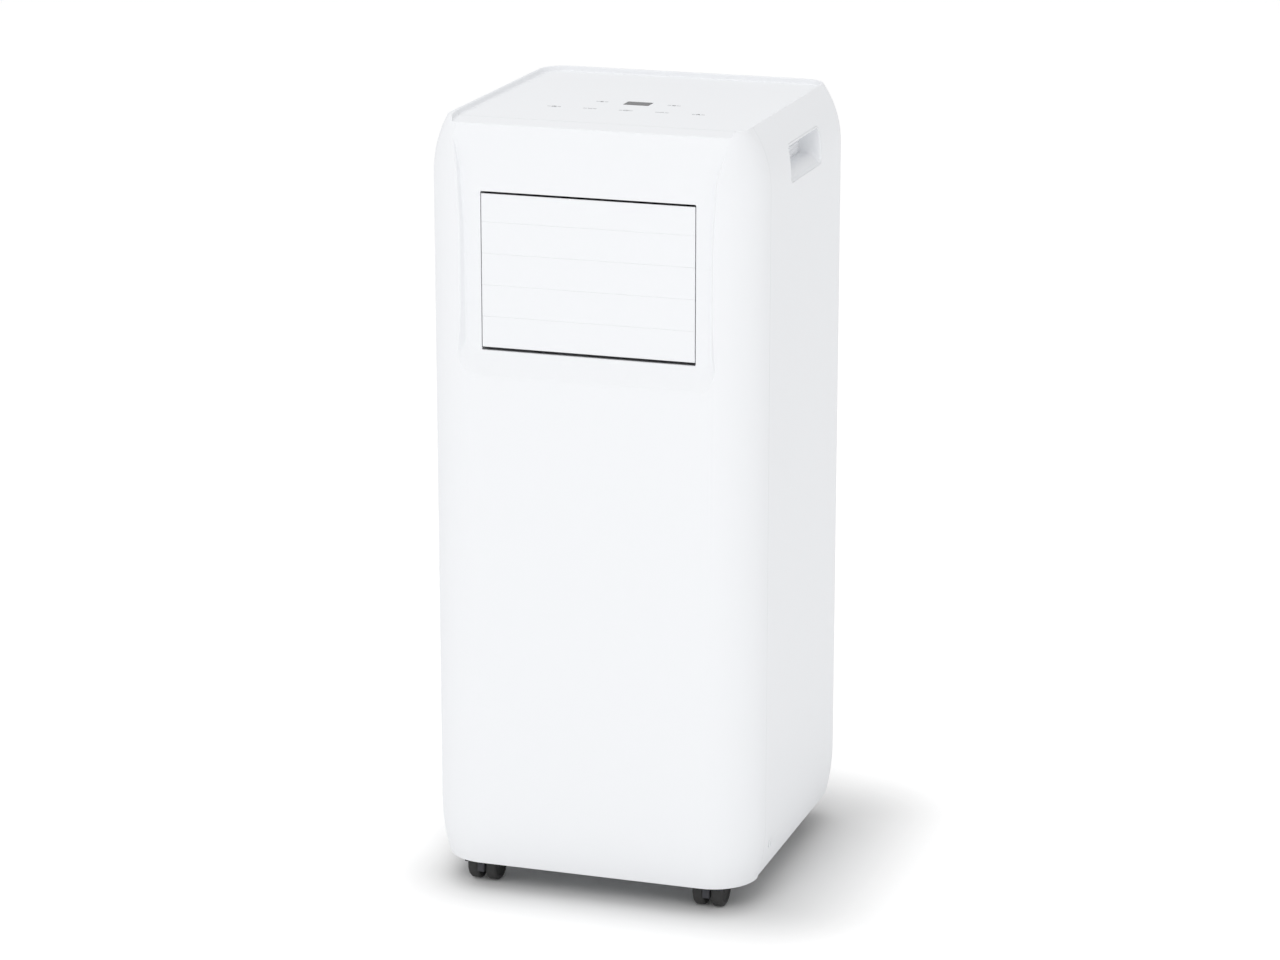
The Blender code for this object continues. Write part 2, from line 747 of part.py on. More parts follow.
def make_handle_cups():
    """The finger pocket in each side, its mouth trimmed to the side's curve."""
    for side, name in ((-1, "handle_cup_left"), (1, "handle_cup_right")):
        bottom = HALF_WIDTH - HANDLE_DEPTH
        cup = piece(name, handle_prism(side, GAP, bottom, HALF_WIDTH + WALL), "white_plastic")
        combine(cup, "INTERSECT", [cabinet_form(GAP)])
        floor = bottom + HANDLE_WALL
        cut(cup, handle_prism(side, GAP + HANDLE_WALL, floor, HALF_WIDTH + 2 * WALL))


def make_top_cover():
    """The flat lid between the rims, with its stiffening flange and lens hole."""
    cover = piece("top_cover", plate(cover_outline(GAP), TOP_Z - WALL, TOP_Z), "white_plastic")
    join(cover, plate(cover_outline(2 * WALL), TOP_Z - WALL - COVER_FLANGE, TOP_Z - WALL / 2))
    cut(cover, plate(cover_outline(3 * WALL), TOP_Z - 3 * WALL - COVER_FLANGE, TOP_Z - WALL))
    half_x, half_y = LENS_WIDTH / 2, LENS_DEPTH / 2
    hole = rounded_outline(-half_x - GAP, -half_y - GAP, half_x + GAP, half_y + GAP, LENS_CORNER_R + GAP)
    cut(cover, plate(hole, TOP_Z - 2 * WALL, TOP_Z + WALL))


def make_controls():
    """The display lens, and the board that carries the touch pads and the display."""
    half_x, half_y = LENS_WIDTH / 2, LENS_DEPTH / 2
    under = TOP_Z - WALL - GAP
    flange_under = under - LENS_THICKNESS - LENS_FLANGE_THICKNESS
    outline = rounded_outline(-half_x, -half_y, half_x, half_y, LENS_CORNER_R)
    lens = piece("display_lens", plate(outline, under - LENS_THICKNESS, TOP_Z), "dark_window")
    wide_x, wide_y = half_x + LENS_FLANGE, half_y + LENS_FLANGE
    flange = rounded_outline(-wide_x, -wide_y, wide_x, wide_y, LENS_CORNER_R)
    join(lens, plate(flange, flange_under, under))
    board_top = TOP_Z - BOARD_DROP
    low = (-BOARD_WIDTH / 2, -BOARD_DEPTH * BOARD_FRONT_SHARE, board_top - BOARD_THICKNESS)
    high = (BOARD_WIDTH / 2, BOARD_DEPTH * (1 - BOARD_FRONT_SHARE), board_top)
    piece("control_board", boxes((low, high)), "circuit_board")
    low = (-half_x + MODULE_MARGIN, -half_y + MODULE_MARGIN, board_top + GAP)
    high = (half_x - MODULE_MARGIN, half_y - MODULE_MARGIN, flange_under - GAP)
    piece("display_module", boxes((low, high)), "dark_plastic")


# ---------------------------------------------------------------- louvre


def blade_span(index):
    """The low and high edge of a blade's face, counted from the bottom."""
    low = LOUVRE_BOTTOM_Z + BLADE_FOOT + index * BLADE_PITCH
    high = min(low + BLADE_PITCH - BLADE_SEAM, LOUVRE_TOP_Z - BLADE_HEAD_GAP)
    return low, high


def blade_axis_z(index):
    """The height of a blade's pivot."""
    return LOUVRE_BOTTOM_Z + BLADE_FOOT + (index + 0.5) * BLADE_PITCH - BLADE_SEAM / 2


CRANK_X = -(DUCT_HALF + GAP + CRANK_THICKNESS / 2)
LINK_X = CRANK_X - CRANK_THICKNESS / 2 - GAP - LINK_THICKNESS / 2
MOTOR_BLADE = BLADE_COUNT // 2


def blade_profile(low, high):
    """A blade's section about its pivot: a flat face with a thin curled foot."""
    face = FASCIA_Y - BLADE_AXIS_Y
    back = face + BLADE_THICKNESS
    foot = [(face, low + BLADE_CURL), (face + BLADE_CURL, low)]
    foot += [(back + BLADE_CURL, low), (back, low + BLADE_CURL)]
    return [*foot, (back, high), (face, high)]


def make_louvre_blades():
    """The five blades, each with its end ears, its pins and its crank."""
    half = LOUVRE_HALF - BLADE_SIDE_GAP
    for index in range(BLADE_COUNT):
        axis_z = blade_axis_z(index)
        low, high = blade_span(index)
        profile = blade_profile(low - axis_z, high - axis_z)
        at = (0.0, BLADE_AXIS_Y, axis_z)
        section = plate(profile, -half, half, FACING_RIGHT)
        blade = piece(f"louvre_blade_{index + 1}", section, "white_plastic", at)
        face_back = FASCIA_Y + BLADE_THICKNESS - BLADE_AXIS_Y
        ears = []
        for side in (-1, 1):
            x0, x1 = sorted((side * half, side * (half - EAR_THICKNESS)))
            ear_front = face_back - BLADE_THICKNESS / 3
            ears.append(((x0, ear_front, -EAR_HALF_HEIGHT), (x1, BLADE_PIN_R, EAR_HALF_HEIGHT)))
        join(blade, boxes(*ears))
        reach = DUCT_HALF + GAP + CRANK_THICKNESS / 2
        pin_start = half - EAR_THICKNESS / 2
        pin_end = reach + LOUVRE_MOTOR_DEPTH / 2 if index == MOTOR_BLADE else DUCT_HALF - GAP
        join(blade, rod((pin_start, 0.0, 0.0), (pin_end, 0.0, 0.0), BLADE_PIN_R, segments=16))
        join(blade, rod((-pin_start, 0.0, 0.0), (-reach, 0.0, 0.0), BLADE_PIN_R, segments=16))
        half_crank = CRANK_THICKNESS / 2
        low_corner = (CRANK_X - half_crank, -CRANK_HALF_WIDTH, -CRANK_HALF_WIDTH)
        high_corner = (CRANK_X + half_crank, CRANK_REACH + CRANK_HALF_WIDTH, CRANK_HALF_WIDTH)
        join(blade, boxes((low_corner, high_corner)))
        link_pin_end = LINK_X - LINK_THICKNESS / 2
        start, end = (CRANK_X, CRANK_REACH, 0.0), (link_pin_end, CRANK_REACH, 0.0)
        join(blade, rod(start, end, LINK_PIN_R, segments=12))


def make_louvre_link():
    """The bar that ties the five cranks together."""
    first = blade_axis_z(0)
    rise = blade_axis_z(BLADE_COUNT - 1) - first
    at = (LINK_X, BLADE_AXIS_Y + CRANK_REACH, first)
    w, half = LINK_HALF_WIDTH, LINK_THICKNESS / 2
    outline = rounded_outline(-w, -w, w, rise + w, w * 0.98, 3)
    link = piece("louvre_link", plate(outline, -half, half, FACING_RIGHT), "dark_plastic", at)
    for index in range(BLADE_COUNT):
        z = blade_axis_z(index) - first
        cut(link, rod((-half * 2, 0.0, z), (half * 2, 0.0, z), LINK_PIN_R + GAP, segments=12))


def make_louvre_frame():
    """The air duct behind the louvre opening, with the blade bearings."""
    y0, y1 = DUCT_FRONT_Y, DUCT_REAR_Y
    outward = DUCT_CLEARANCE + DUCT_WALL
    z0, z1 = LOUVRE_BOTTOM_Z - outward, LOUVRE_TOP_Z + outward
    frame = piece("louvre_frame", boxes(((-DUCT_HALF, y0, z0), (DUCT_HALF, y1, z1))), "pale_plastic")
    inner = DUCT_HALF - DUCT_WALL
    low, high = (-inner, y0 - DUCT_WALL, z0 + DUCT_WALL), (inner, y1 + DUCT_WALL, z1 - DUCT_WALL)
    cut(frame, boxes((low, high)))
    bearings = []
    for index in range(BLADE_COUNT):
        z = blade_axis_z(index)
        reach = DUCT_HALF + DUCT_WALL
        start, end = (-reach, BLADE_AXIS_Y, z), (reach, BLADE_AXIS_Y, z)
        bearings.append(rod(start, end, BLADE_PIN_R + GAP, segments=12))
    cut(frame, group(bearings))


def make_louvre_motor():
    """The small motor that turns the middle blade."""
    x0 = DUCT_HALF + GAP
    x1 = x0 + LOUVRE_MOTOR_DEPTH
    y, z = DUCT_FRONT_Y + GAP + LOUVRE_MOTOR_R, blade_axis_z(MOTOR_BLADE)
    motor = piece("louvre_motor", rod((x0, y, z), (x1, y, z), LOUVRE_MOTOR_R), "zinc_steel")
    wing_low = (x0, y - MOTOR_WING_FRONT, z - 1.5 * LOUVRE_MOTOR_R)
    wing_high = (x0 + MOTOR_WING_THICKNESS, y + MOTOR_WING_BACK, z + 1.5 * LOUVRE_MOTOR_R)
    join(motor, boxes((wing_low, wing_high)))
    start = (x0 - MOTOR_WING_THICKNESS, BLADE_AXIS_Y, z)
    end = (x0 + LOUVRE_MOTOR_DEPTH * MOTOR_BORE_SHARE, BLADE_AXIS_Y, z)
    cut(motor, rod(start, end, BLADE_PIN_R + GAP, segments=16))


# ---------------------------------------------------------------- castors and base


def corner_names():
    """Each castor's name and the signs of its corner."""
    for y_name, y_sign in (("front", -1), ("rear", 1)):
        for x_name, x_sign in (("left", -1), ("right", 1)):
            yield f"{y_name}_{x_name}", x_sign, y_sign


def make_castors():
    """Four swivelling castors, each a hood with a pair of wheels on one axle."""
    hood_half = HOOD_WEB / 2 + WHEEL_WIDTH + 2 * HOOD_CLEARANCE
    hood_r = WHEEL_R + HOOD_CLEARANCE + HOOD_WALL
    neck_top = PAN_Z - GAP
    for name, x_sign, y_sign in corner_names():
        at = (x_sign * CASTOR_X, y_sign * CASTOR_Y, WHEEL_R)
        axle_y = -CASTOR_TRAIL
        start, end = (-hood_half, axle_y, 0.0), (hood_half, axle_y, 0.0)
        hood = piece(f"castor_hood_{name}", rod(start, end, hood_r, segments=24), "dark_plastic", at)
        neck_low = hood_r * NECK_START_SHARE
        stem_top = PAN_TOP_Z + STEM_REACH - WHEEL_R
        join(hood, rod((0.0, 0.0, neck_low), (0.0, 0.0, neck_top - WHEEL_R), NECK_R, segments=20))
        join(hood, rod((0.0, 0.0, neck_low + HOOD_WALL), (0.0, 0.0, stem_top), STEM_R, segments=16))
        tread = WHEEL_R + HOOD_CLEARANCE
        for side in (-1, 1):
            web = (side * HOOD_WEB / 2, axle_y, 0.0)
            cut(hood, rod(web, (side * (hood_half + HOOD_WALL), axle_y, 0.0), tread, segments=24))
        far = CASTOR_REACH
        under_z = -AXLE_R - HOOD_UNDER
        open_sides = [((-far, axle_y - far, -far), (far, axle_y + far, under_z))]
        for side in (-1, 1):
            x0, x1 = sorted((side * HOOD_WEB / 2, side * far))
            open_sides.append(((x0, axle_y - far, under_z - GAP), (x1, axle_y + far, HOOD_SIDE_Z)))
        for low_corner, high_corner in open_sides:
            cut(hood, boxes((low_corner, high_corner)))
        cut(hood, rod((-far, axle_y, 0.0), (far, axle_y, 0.0), AXLE_R + GAP, segments=12))

        wheel_at = (at[0], at[1] + axle_y, at[2])
        inner = HOOD_WEB / 2 + HOOD_CLEARANCE / 2
        outer = inner + WHEEL_WIDTH
        axle_end = outer - AXLE_INSET
        axle = rod((-axle_end, 0.0, 0.0), (axle_end, 0.0, 0.0), AXLE_R, segments=12)
        wheels = piece(f"castor_wheels_{name}", axle, "wheel_plastic", wheel_at)
        for side in (-1, 1):
            join(wheels, rod((side * inner, 0.0, 0.0), (side * outer, 0.0, 0.0), WHEEL_R, segments=24))
        for side in (-1, 1):
            dish_start = (side * (outer - RIM_DISH), 0.0, 0.0)
            dish_end = (side * (outer + RIM_DISH), 0.0, 0.0)
            cut(wheels, rod(dish_start, dish_end, WHEEL_R * RIM_DISH_SHARE, segments=16))


def pan_outline(margin):
    """The base pan's plan outline, set in by a margin."""
    inset = PAN_INSET + margin
    return [(x, y) for x, y, _ in cabinet_ring(inset, 0.0, 0.0)[::2]]


def make_base_pan():
    """The pan that carries the machinery and the castor stems."""
    pan = piece("base_pan", plate(pan_outline(0.0), PAN_Z, PAN_RIM_Z), "galvanised_sheet")
    cut(pan, plate(pan_outline(PAN_SHEET), PAN_TOP_Z, PAN_RIM_Z + PAN_THICKNESS))
    for _, x_sign, y_sign in corner_names():
        x, y = x_sign * CASTOR_X, y_sign * CASTOR_Y
        boss_top = PAN_TOP_Z + BOSS_HEIGHT
        join(pan, rod((x, y, PAN_Z + PAN_THICKNESS / 3), (x, y, boss_top), BOSS_R, segments=16))
        below, above = (x, y, PAN_Z - PAN_THICKNESS), (x, y, boss_top + PAN_THICKNESS)
        cut(pan, rod(below, above, STEM_R + GAP, segments=16))
    low, high = REAR_Y - DRAIN_DEPTH - WALL, REAR_Y
    cut(pan, rod((DRAIN_X, low, DRAIN_Z), (DRAIN_X, high, DRAIN_Z), DRAIN_FLANGE_R + GAP))
    cut(pan, rod((GLAND_X, low, GLAND_Z), (GLAND_X, high, GLAND_Z), GLAND_FLANGE_R + GAP))
    for side in (-1, 1):
        start = (side * (HALF_WIDTH - 2 * SCREW_LENGTH), SIDE_SCREW_Y, SIDE_SCREW_Z)
        end = (side * HALF_WIDTH, SIDE_SCREW_Y, SIDE_SCREW_Z)
        cut(pan, rod(start, end, SCREW_SHAFT_R + GAP, segments=16))


# ---------------------------------------------------------------- rear fittings


def make_grilles():
    """The two pull-off intake grilles and the filters clipped into them."""
    for name, (z0, z1) in (("upper", UPPER_GRILLE_Z), ("lower", LOWER_GRILLE_Z)):
        at = (0.0, REAR_Y, (z0 + z1) / 2)
        half_x, half_z = GRILLE_HALF - GAP, (z1 - z0) / 2 - GAP
        outline = rounded_outline(-half_x, -half_z, half_x, half_z, GRILLE_CORNER_R - GAP)
        panel = plate(outline, -GRILLE_THICKNESS, 0.0, FACING_BACK)
        grille = piece(f"{name}_grille", panel, "white_plastic", at)
        count = int((2 * half_z - 2 * GRILLE_FRAME) // SLOT_PITCH)
        first = -SLOT_PITCH * (count - 1) / 2
        slots = []
        for k in range(count):
            z = first + k * SLOT_PITCH
            for side in (-1, 1):
                x0, x1 = sorted((side * GRILLE_FRAME / 2, side * (half_x - GRILLE_FRAME)))
                low = (x0, -2 * GRILLE_THICKNESS, z - SLOT_HEIGHT / 2)
                slots.append((low, (x1, GRILLE_THICKNESS, z + SLOT_HEIGHT / 2)))
        cut(grille, boxes(*slots))
        edge = GRILLE_FRAME / 2
        back = -GRILLE_THICKNESS - GAP
        low = (-half_x + edge, back - FILTER_THICKNESS, -half_z + edge)
        piece(f"{name}_filter", boxes((low, (half_x - edge, back, half_z - edge))), "filter_mesh", at)


TILT_BACK = (-math.pi / 2, 0.0, 0.0)


def make_exhaust_collar():
    """The round outlet that an exhaust hose plugs into."""
    tube_r = EXHAUST_BORE_R + COLLAR_WALL
    profile = [
        (EXHAUST_BORE_R, 0.0),
        (EXHAUST_FLANGE_R - EDGE_BREAK, 0.0),
        (EXHAUST_FLANGE_R, -EDGE_BREAK),
        (EXHAUST_FLANGE_R, -COLLAR_FLANGE),
        (tube_r, -COLLAR_FLANGE),
        (tube_r, -COLLAR_DEPTH),
        (EXHAUST_BORE_R, -COLLAR_DEPTH),
    ]
    at = (0.0, REAR_Y, EXHAUST_Z)
    turned("exhaust_collar", profile, "white_plastic", at, TILT_BACK, steps=36, ring=True)


def make_drain():
    """The drain port and the plug that pulls out of it."""
    at = (DRAIN_X, REAR_Y, DRAIN_Z)
    tube_r = DRAIN_BORE_R + TUBE_WALL
    mouth_r = DRAIN_CAP_R + GAP
    port = [
        (mouth_r, 0.0),
        (DRAIN_FLANGE_R, 0.0),
        (DRAIN_FLANGE_R, -DRAIN_SEAT - TUBE_WALL),
        (tube_r, -DRAIN_SEAT - TUBE_WALL),
        (tube_r, -DRAIN_DEPTH),
        (DRAIN_BORE_R, -DRAIN_DEPTH),
        (DRAIN_BORE_R, -DRAIN_SEAT),
        (mouth_r, -DRAIN_SEAT),
    ]
    turned("drain_port", port, "pale_plastic", at, TILT_BACK, steps=18, ring=True)
    plug_r = DRAIN_BORE_R - GAP
    plug_end = -DRAIN_DEPTH * 3 / 4
    plug = [
        (0.0, -EDGE_BREAK / 2),
        (DRAIN_CAP_R - EDGE_BREAK, -EDGE_BREAK / 2),
        (DRAIN_CAP_R, -EDGE_BREAK * 3 / 2),
        (DRAIN_CAP_R, -DRAIN_SEAT + GAP),
        (plug_r, -DRAIN_SEAT + GAP),
        (plug_r, plug_end),
        (0.0, plug_end),
    ]
    turned("drain_plug", plug, "black_rubber", at, TILT_BACK, steps=18)


def make_cord_gland():
    """The gland that a supply cord would come out of."""
    tube_r = GLAND_BORE_R + TUBE_WALL
    profile = [
        (GLAND_BORE_R, 0.0),
        (GLAND_FLANGE_R - EDGE_BREAK, 0.0),
        (GLAND_FLANGE_R, -EDGE_BREAK),
        (GLAND_FLANGE_R, -COLLAR_FLANGE),
        (tube_r, -COLLAR_FLANGE),
        (tube_r, -GLAND_DEPTH),
        (GLAND_BORE_R, -GLAND_DEPTH),
    ]
    turned("cord_gland", profile, "dark_plastic", (GLAND_X, REAR_Y, GLAND_Z), TILT_BACK, steps=18, ring=True)


def screw_profile():
    """A pan-head screw with its head's top at zero."""
    return [
        (0.0, 0.0),
        (SCREW_HEAD_R * 0.7, 0.0),
        (SCREW_HEAD_R, -SCREW_HEAD_HEIGHT * 0.5),
        (SCREW_HEAD_R, -SCREW_HEAD_HEIGHT),
        (SCREW_SHAFT_R, -SCREW_HEAD_HEIGHT),
        (SCREW_SHAFT_R, -SCREW_LENGTH),
        (0.0, -SCREW_LENGTH),
    ]


def make_screws():
    """The side screws in their dimples and the rear screws."""
    seat = shell_x_at(SIDE_SCREW_Z) - DIMPLE_DEPTH / 2
    for side, name in ((-1, "left"), (1, "right")):
        at = (side * (seat + GAP + SCREW_HEAD_HEIGHT), SIDE_SCREW_Y, SIDE_SCREW_Z)
        tilt = (0.0, side * math.pi / 2, 0.0)
        turned(f"side_screw_{name}", screw_profile(), "zinc_steel", at, tilt, steps=10)
        at = (side * REAR_SCREW_X, REAR_Y, REAR_SCREW_Z)
        turned(f"rear_screw_{name}", screw_profile(), "zinc_steel", at, TILT_BACK, steps=10)


# ---------------------------------------------------------------- cooling circuit


def make_compressor():
    """The compressor can on three rubber mounts, and its accumulator."""
    foot_z = PAN_TOP_Z + GAP + MOUNT_HEIGHT + GAP
    base = FOOT_RISE
    top = base + COMPRESSOR_HEIGHT
    r = COMPRESSOR_R
    profile = [(0.0, top), (r * 0.5, top - CAN_CROWN), (r * 0.82, top - CAN_SHOULDER), (r, top - CAN_DOME)]
    profile += [(r, base + CAN_BASE_BEND), (r * 0.85, base + FOOT_RISE), (r * 0.6, base), (0.0, base)]
    at = (COMPRESSOR_X, COMPRESSOR_Y, foot_z)
    can = turned("compressor", profile, "black_enamel", at, steps=28)
    angles = [math.radians(90 + 120 * k) for k in range(3)]
    places = [(MOUNT_RING_R * math.cos(a), MOUNT_RING_R * math.sin(a)) for a in angles]
    arms = []
    for x, y in places:
        arms.append(rod((x, y, 0.0), (x, y, FOOT_THICKNESS), MOUNT_R * 1.1, segments=16))
        bm = bmesh.new()
        spin = Matrix.Rotation(math.atan2(y, x), 4, "Z")
        size = Matrix.Diagonal((MOUNT_RING_R, MOUNT_R * 1.6, FOOT_THICKNESS, 1.0))
        centre = Matrix.Translation((MOUNT_RING_R / 2, 0.0, FOOT_THICKNESS / 2))
        bmesh.ops.create_cube(bm, size=1.0, matrix=spin @ centre @ size)
        arms.append(closed_mesh(bm))
    join(can, *arms)
    join(can, rod((0.0, 0.0, 0.0), (0.0, 0.0, base + CAN_SHOULDER / 2), r * 0.62, segments=20))
    stub_low, stub_high = (0.0, 0.0, top - OUTLET_STUB), (0.0, 0.0, top + OUTLET_STUB)
    join(can, rod(stub_low, stub_high, PIPE_R * 1.8, segments=12))
    for number, (x, y) in enumerate(places, start=1):
        low = (COMPRESSOR_X + x, COMPRESSOR_Y + y, PAN_TOP_Z + GAP)
        profile = [(0.0, MOUNT_HEIGHT), (MOUNT_R, MOUNT_HEIGHT), (MOUNT_R * 0.75, MOUNT_HEIGHT / 2)]
        profile += [(MOUNT_R, 0.0), (0.0, 0.0)]
        turned(f"compressor_mount_{number}", profile, "black_rubber", low, steps=16)

    x = COMPRESSOR_X + ACCUMULATOR_SPACING
    low_z = foot_z + ACCUMULATOR_RISE
    r, top, dome = ACCUMULATOR_R, ACCUMULATOR_HEIGHT, ACCUMULATOR_DOME
    profile = [(0.0, top), (r * 0.4, top - CAN_CROWN), (r, top - dome)]
    profile += [(r, dome), (r * 0.4, CAN_CROWN), (0.0, 0.0)]
    accumulator = turned("accumulator", profile, "black_enamel", (x, COMPRESSOR_Y, low_z), steps=20)
    bracket_start = -ACCUMULATOR_SPACING + COMPRESSOR_R + GAP * 3
    low = (bracket_start, -BRACKET_HALF, BRACKET_Z[0])
    join(accumulator, boxes((low, (-r * 0.5, BRACKET_HALF, BRACKET_Z[1]))))


def make_coils():
    """The two finned coils, each a block between end plates."""
    for name, (z0, z1) in (("condenser_coil", CONDENSER_Z), ("evaporator_coil", EVAPORATOR_Z)):
        y1 = COIL_BACK_Y
        y0 = y1 - COIL_DEPTH
        block = boxes(((-COIL_HALF, y0, z0), (COIL_HALF, y1, z1)))
        coil = piece(name, block, "fin_aluminium")
        for side in (-1, 1):
            x0, x1 = sorted((side * (COIL_HALF - END_PLATE), side * (COIL_HALF + END_PLATE)))
            stand = END_PLATE_STAND / 2
            low = (x0, y0 - stand, z0 - stand)
            join(coil, boxes((low, (x1, y1 + stand, z1 + stand))))


def make_pipes():
    """The refrigerant pipes, the drier and the capillary tube."""
    side_x = COIL_HALF + END_PLATE + GAP
    coil_y = COIL_BACK_Y - COIL_DEPTH / 2
    foot_z = PAN_TOP_Z + MOUNT_HEIGHT + 2 * GAP
    outlet_z = foot_z + FOOT_RISE + COMPRESSOR_HEIGHT + OUTLET_STUB + GAP
    under_deck = DECK_Z - PIPE_DROP
    lane = CORRIDOR_X
    corners = [
        (COMPRESSOR_X, COMPRESSOR_Y, outlet_z),
        (COMPRESSOR_X, COMPRESSOR_Y, under_deck),
        (-lane, COMPRESSOR_Y, under_deck),
        (-lane, coil_y, under_deck),
        (-lane, coil_y, CONDENSER_Z[1] - PORT_INSET),
        (-side_x, coil_y, CONDENSER_Z[1] - PORT_INSET),
    ]
    pipe("discharge_pipe", rounded_route(corners, PIPE_BEND), PIPE_R, "copper")
    tank_x = COMPRESSOR_X + ACCUMULATOR_SPACING
    tank_z = foot_z + ACCUMULATOR_RISE + ACCUMULATOR_HEIGHT + GAP
    corners = [
        (side_x, coil_y, EVAPORATOR_Z[0] + PORT_INSET),
        (lane, coil_y, EVAPORATOR_Z[0] + PORT_INSET),
        (lane, coil_y, under_deck),
        (lane, COMPRESSOR_Y, under_deck),
        (tank_x, COMPRESSOR_Y, under_deck),
        (tank_x, COMPRESSOR_Y, tank_z),
    ]
    pipe("suction_pipe", rounded_route(corners, PIPE_BEND), PIPE_R, "copper")
    drier_y, drier_z = DRIER_Y, CONDENSER_Z[0] + DRIER_RISE
    port_z = CONDENSER_Z[0] + LIQUID_PORT_RISE
    corners = [
        (side_x, coil_y, port_z),
        (lane, coil_y, port_z),
        (lane, drier_y + LIQUID_PORT_RISE, port_z),
        (DRIER_X, drier_y, port_z),
        (DRIER_X, drier_y, drier_z - GAP),
    ]
    pipe("liquid_pipe", rounded_route(corners, SMALL_BEND), PIPE_R, "copper")
    r, top = DRIER_R, DRIER_LENGTH
    neck = DRIER_NECK
    profile = [(0.0, top), (r * 0.35, top), (r, top - neck), (r, neck), (r * 0.35, 0.0), (0.0, 0.0)]
    turned("filter_drier", profile, "copper", (DRIER_X, drier_y, drier_z), steps=16)
    corners = [
        (DRIER_X, drier_y, drier_z + DRIER_LENGTH + GAP),
        (DRIER_X, drier_y, EVAPORATOR_Z[1] - PORT_INSET),
        (DRIER_X, coil_y, EVAPORATOR_Z[1] - PORT_INSET),
        (side_x, coil_y, EVAPORATOR_Z[1] - PORT_INSET),
    ]
    pipe("capillary_tube", rounded_route(corners, SMALL_BEND), CAPILLARY_R, "copper")


# ---------------------------------------------------------------- fans and electrics


def impeller(name, radius, height, at, tilt):
    """A bladed wheel about its own Z axis: back plate, hub and a ring of blades."""
    profile = [(0.0, FAN_PLATE), (radius, FAN_PLATE), (radius, 0.0), (0.0, 0.0)]
    wheel = turned(name, profile, "pale_plastic", at, tilt, steps=24)
    bm = bmesh.new()
    chord = radius * 0.22
    blade_height = height - 2 * FAN_BLADE_MARGIN
    for k in range(FAN_BLADES):
        spin = Matrix.Rotation(2 * math.pi * k / FAN_BLADES, 4, "Z")
        centre = Matrix.Translation((radius - chord * 0.62, 0.0, height / 2 + FAN_BLADE_MARGIN))
        twist = Matrix.Rotation(math.radians(35), 4, "Z")
        size = Matrix.Diagonal((chord, FAN_BLADE_THICKNESS, blade_height, 1.0))
        bmesh.ops.create_cube(bm, size=1.0, matrix=spin @ centre @ twist @ size)
    join(wheel, closed_mesh(bm))
    join(wheel, rod((0.0, 0.0, FAN_PLATE / 3), (0.0, 0.0, height * 0.4), HUB_R, segments=20))
    bore = SHAFT_R + SHAFT_CLEARANCE
    cut(wheel, rod((0.0, 0.0, -FAN_PLATE), (0.0, 0.0, height), bore, segments=16))


def motor(name, at, tilt, shaft_length):
    """A can motor about its own Z axis, its shaft pointing up."""
    r, h = MOTOR_R, MOTOR_HEIGHT
    profile = [
        (0.0, shaft_length),
        (SHAFT_R, shaft_length),
        (SHAFT_R, MOTOR_BOSS),
        (r * 0.4, MOTOR_BOSS),
        (r * 0.4, 0.0),
        (r - MOTOR_EDGE, 0.0),
        (r, -MOTOR_EDGE),
        (r, -h + MOTOR_EDGE),
        (r - MOTOR_EDGE, -h),
        (0.0, -h),
    ]
    turned(name, profile, "zinc_steel", at, tilt, steps=16)


def make_exhaust_fan():
    """The deck, and on it the fan that blows the hot air out at the back."""
    deck_low = (-DECK_HALF, DECK_FRONT_Y, DECK_Z)
    deck_high = (DECK_HALF, DECK_REAR_Y, DECK_Z + DECK_THICKNESS)
    deck = piece("fan_deck", boxes((deck_low, deck_high)), "galvanised_sheet")
    front, rear = EXHAUST_HOUSING_FRONT_Y, REAR_Y - COLLAR_DEPTH - GAP
    centre_y = (front + rear) / 2
    below, above = (0.0, centre_y, DECK_Z - SHAFT_SHORT), (0.0, centre_y, DECK_Z + 3 * SHAFT_SHORT)
    cut(deck, rod(below, above, INLET_R, segments=32))
    z0 = DECK_Z + DECK_THICKNESS + GAP
    z1 = z0 + EXHAUST_HOUSING_HEIGHT
    half, wall = FAN_HOUSING_HALF, HOUSING_WALL
    box = boxes(((-half, front, z0), (half, rear, z1)))
    housing = piece("exhaust_fan_housing", box, "pale_plastic")
    inner_low, inner_high = (-half + wall, front + wall, z0 + wall), (half - wall, rear - wall, z1 - wall)
    cut(housing, boxes((inner_low, inner_high)))
    cut(housing, rod(below, above, INLET_R, segments=32))
    out_start, out_end = (0.0, rear - 3 * wall, EXHAUST_Z), (0.0, rear + wall, EXHAUST_Z)
    cut(housing, rod(out_start, out_end, EXHAUST_BORE_R, segments=40))
    motor_top = z1 - wall - GAP
    fan_z = z0 + wall + FAN_CLEARANCE
    hub_top = fan_z + EXHAUST_FAN_HEIGHT
    turn_over = (math.pi, 0.0, 0.0)
    motor_z = motor_top - MOTOR_HEIGHT
    motor("exhaust_fan_motor", (0.0, centre_y, motor_z), turn_over, motor_z - fan_z - SHAFT_SHORT)
    impeller("exhaust_fan", EXHAUST_FAN_R, EXHAUST_FAN_HEIGHT, (0.0, centre_y, hub_top), turn_over)


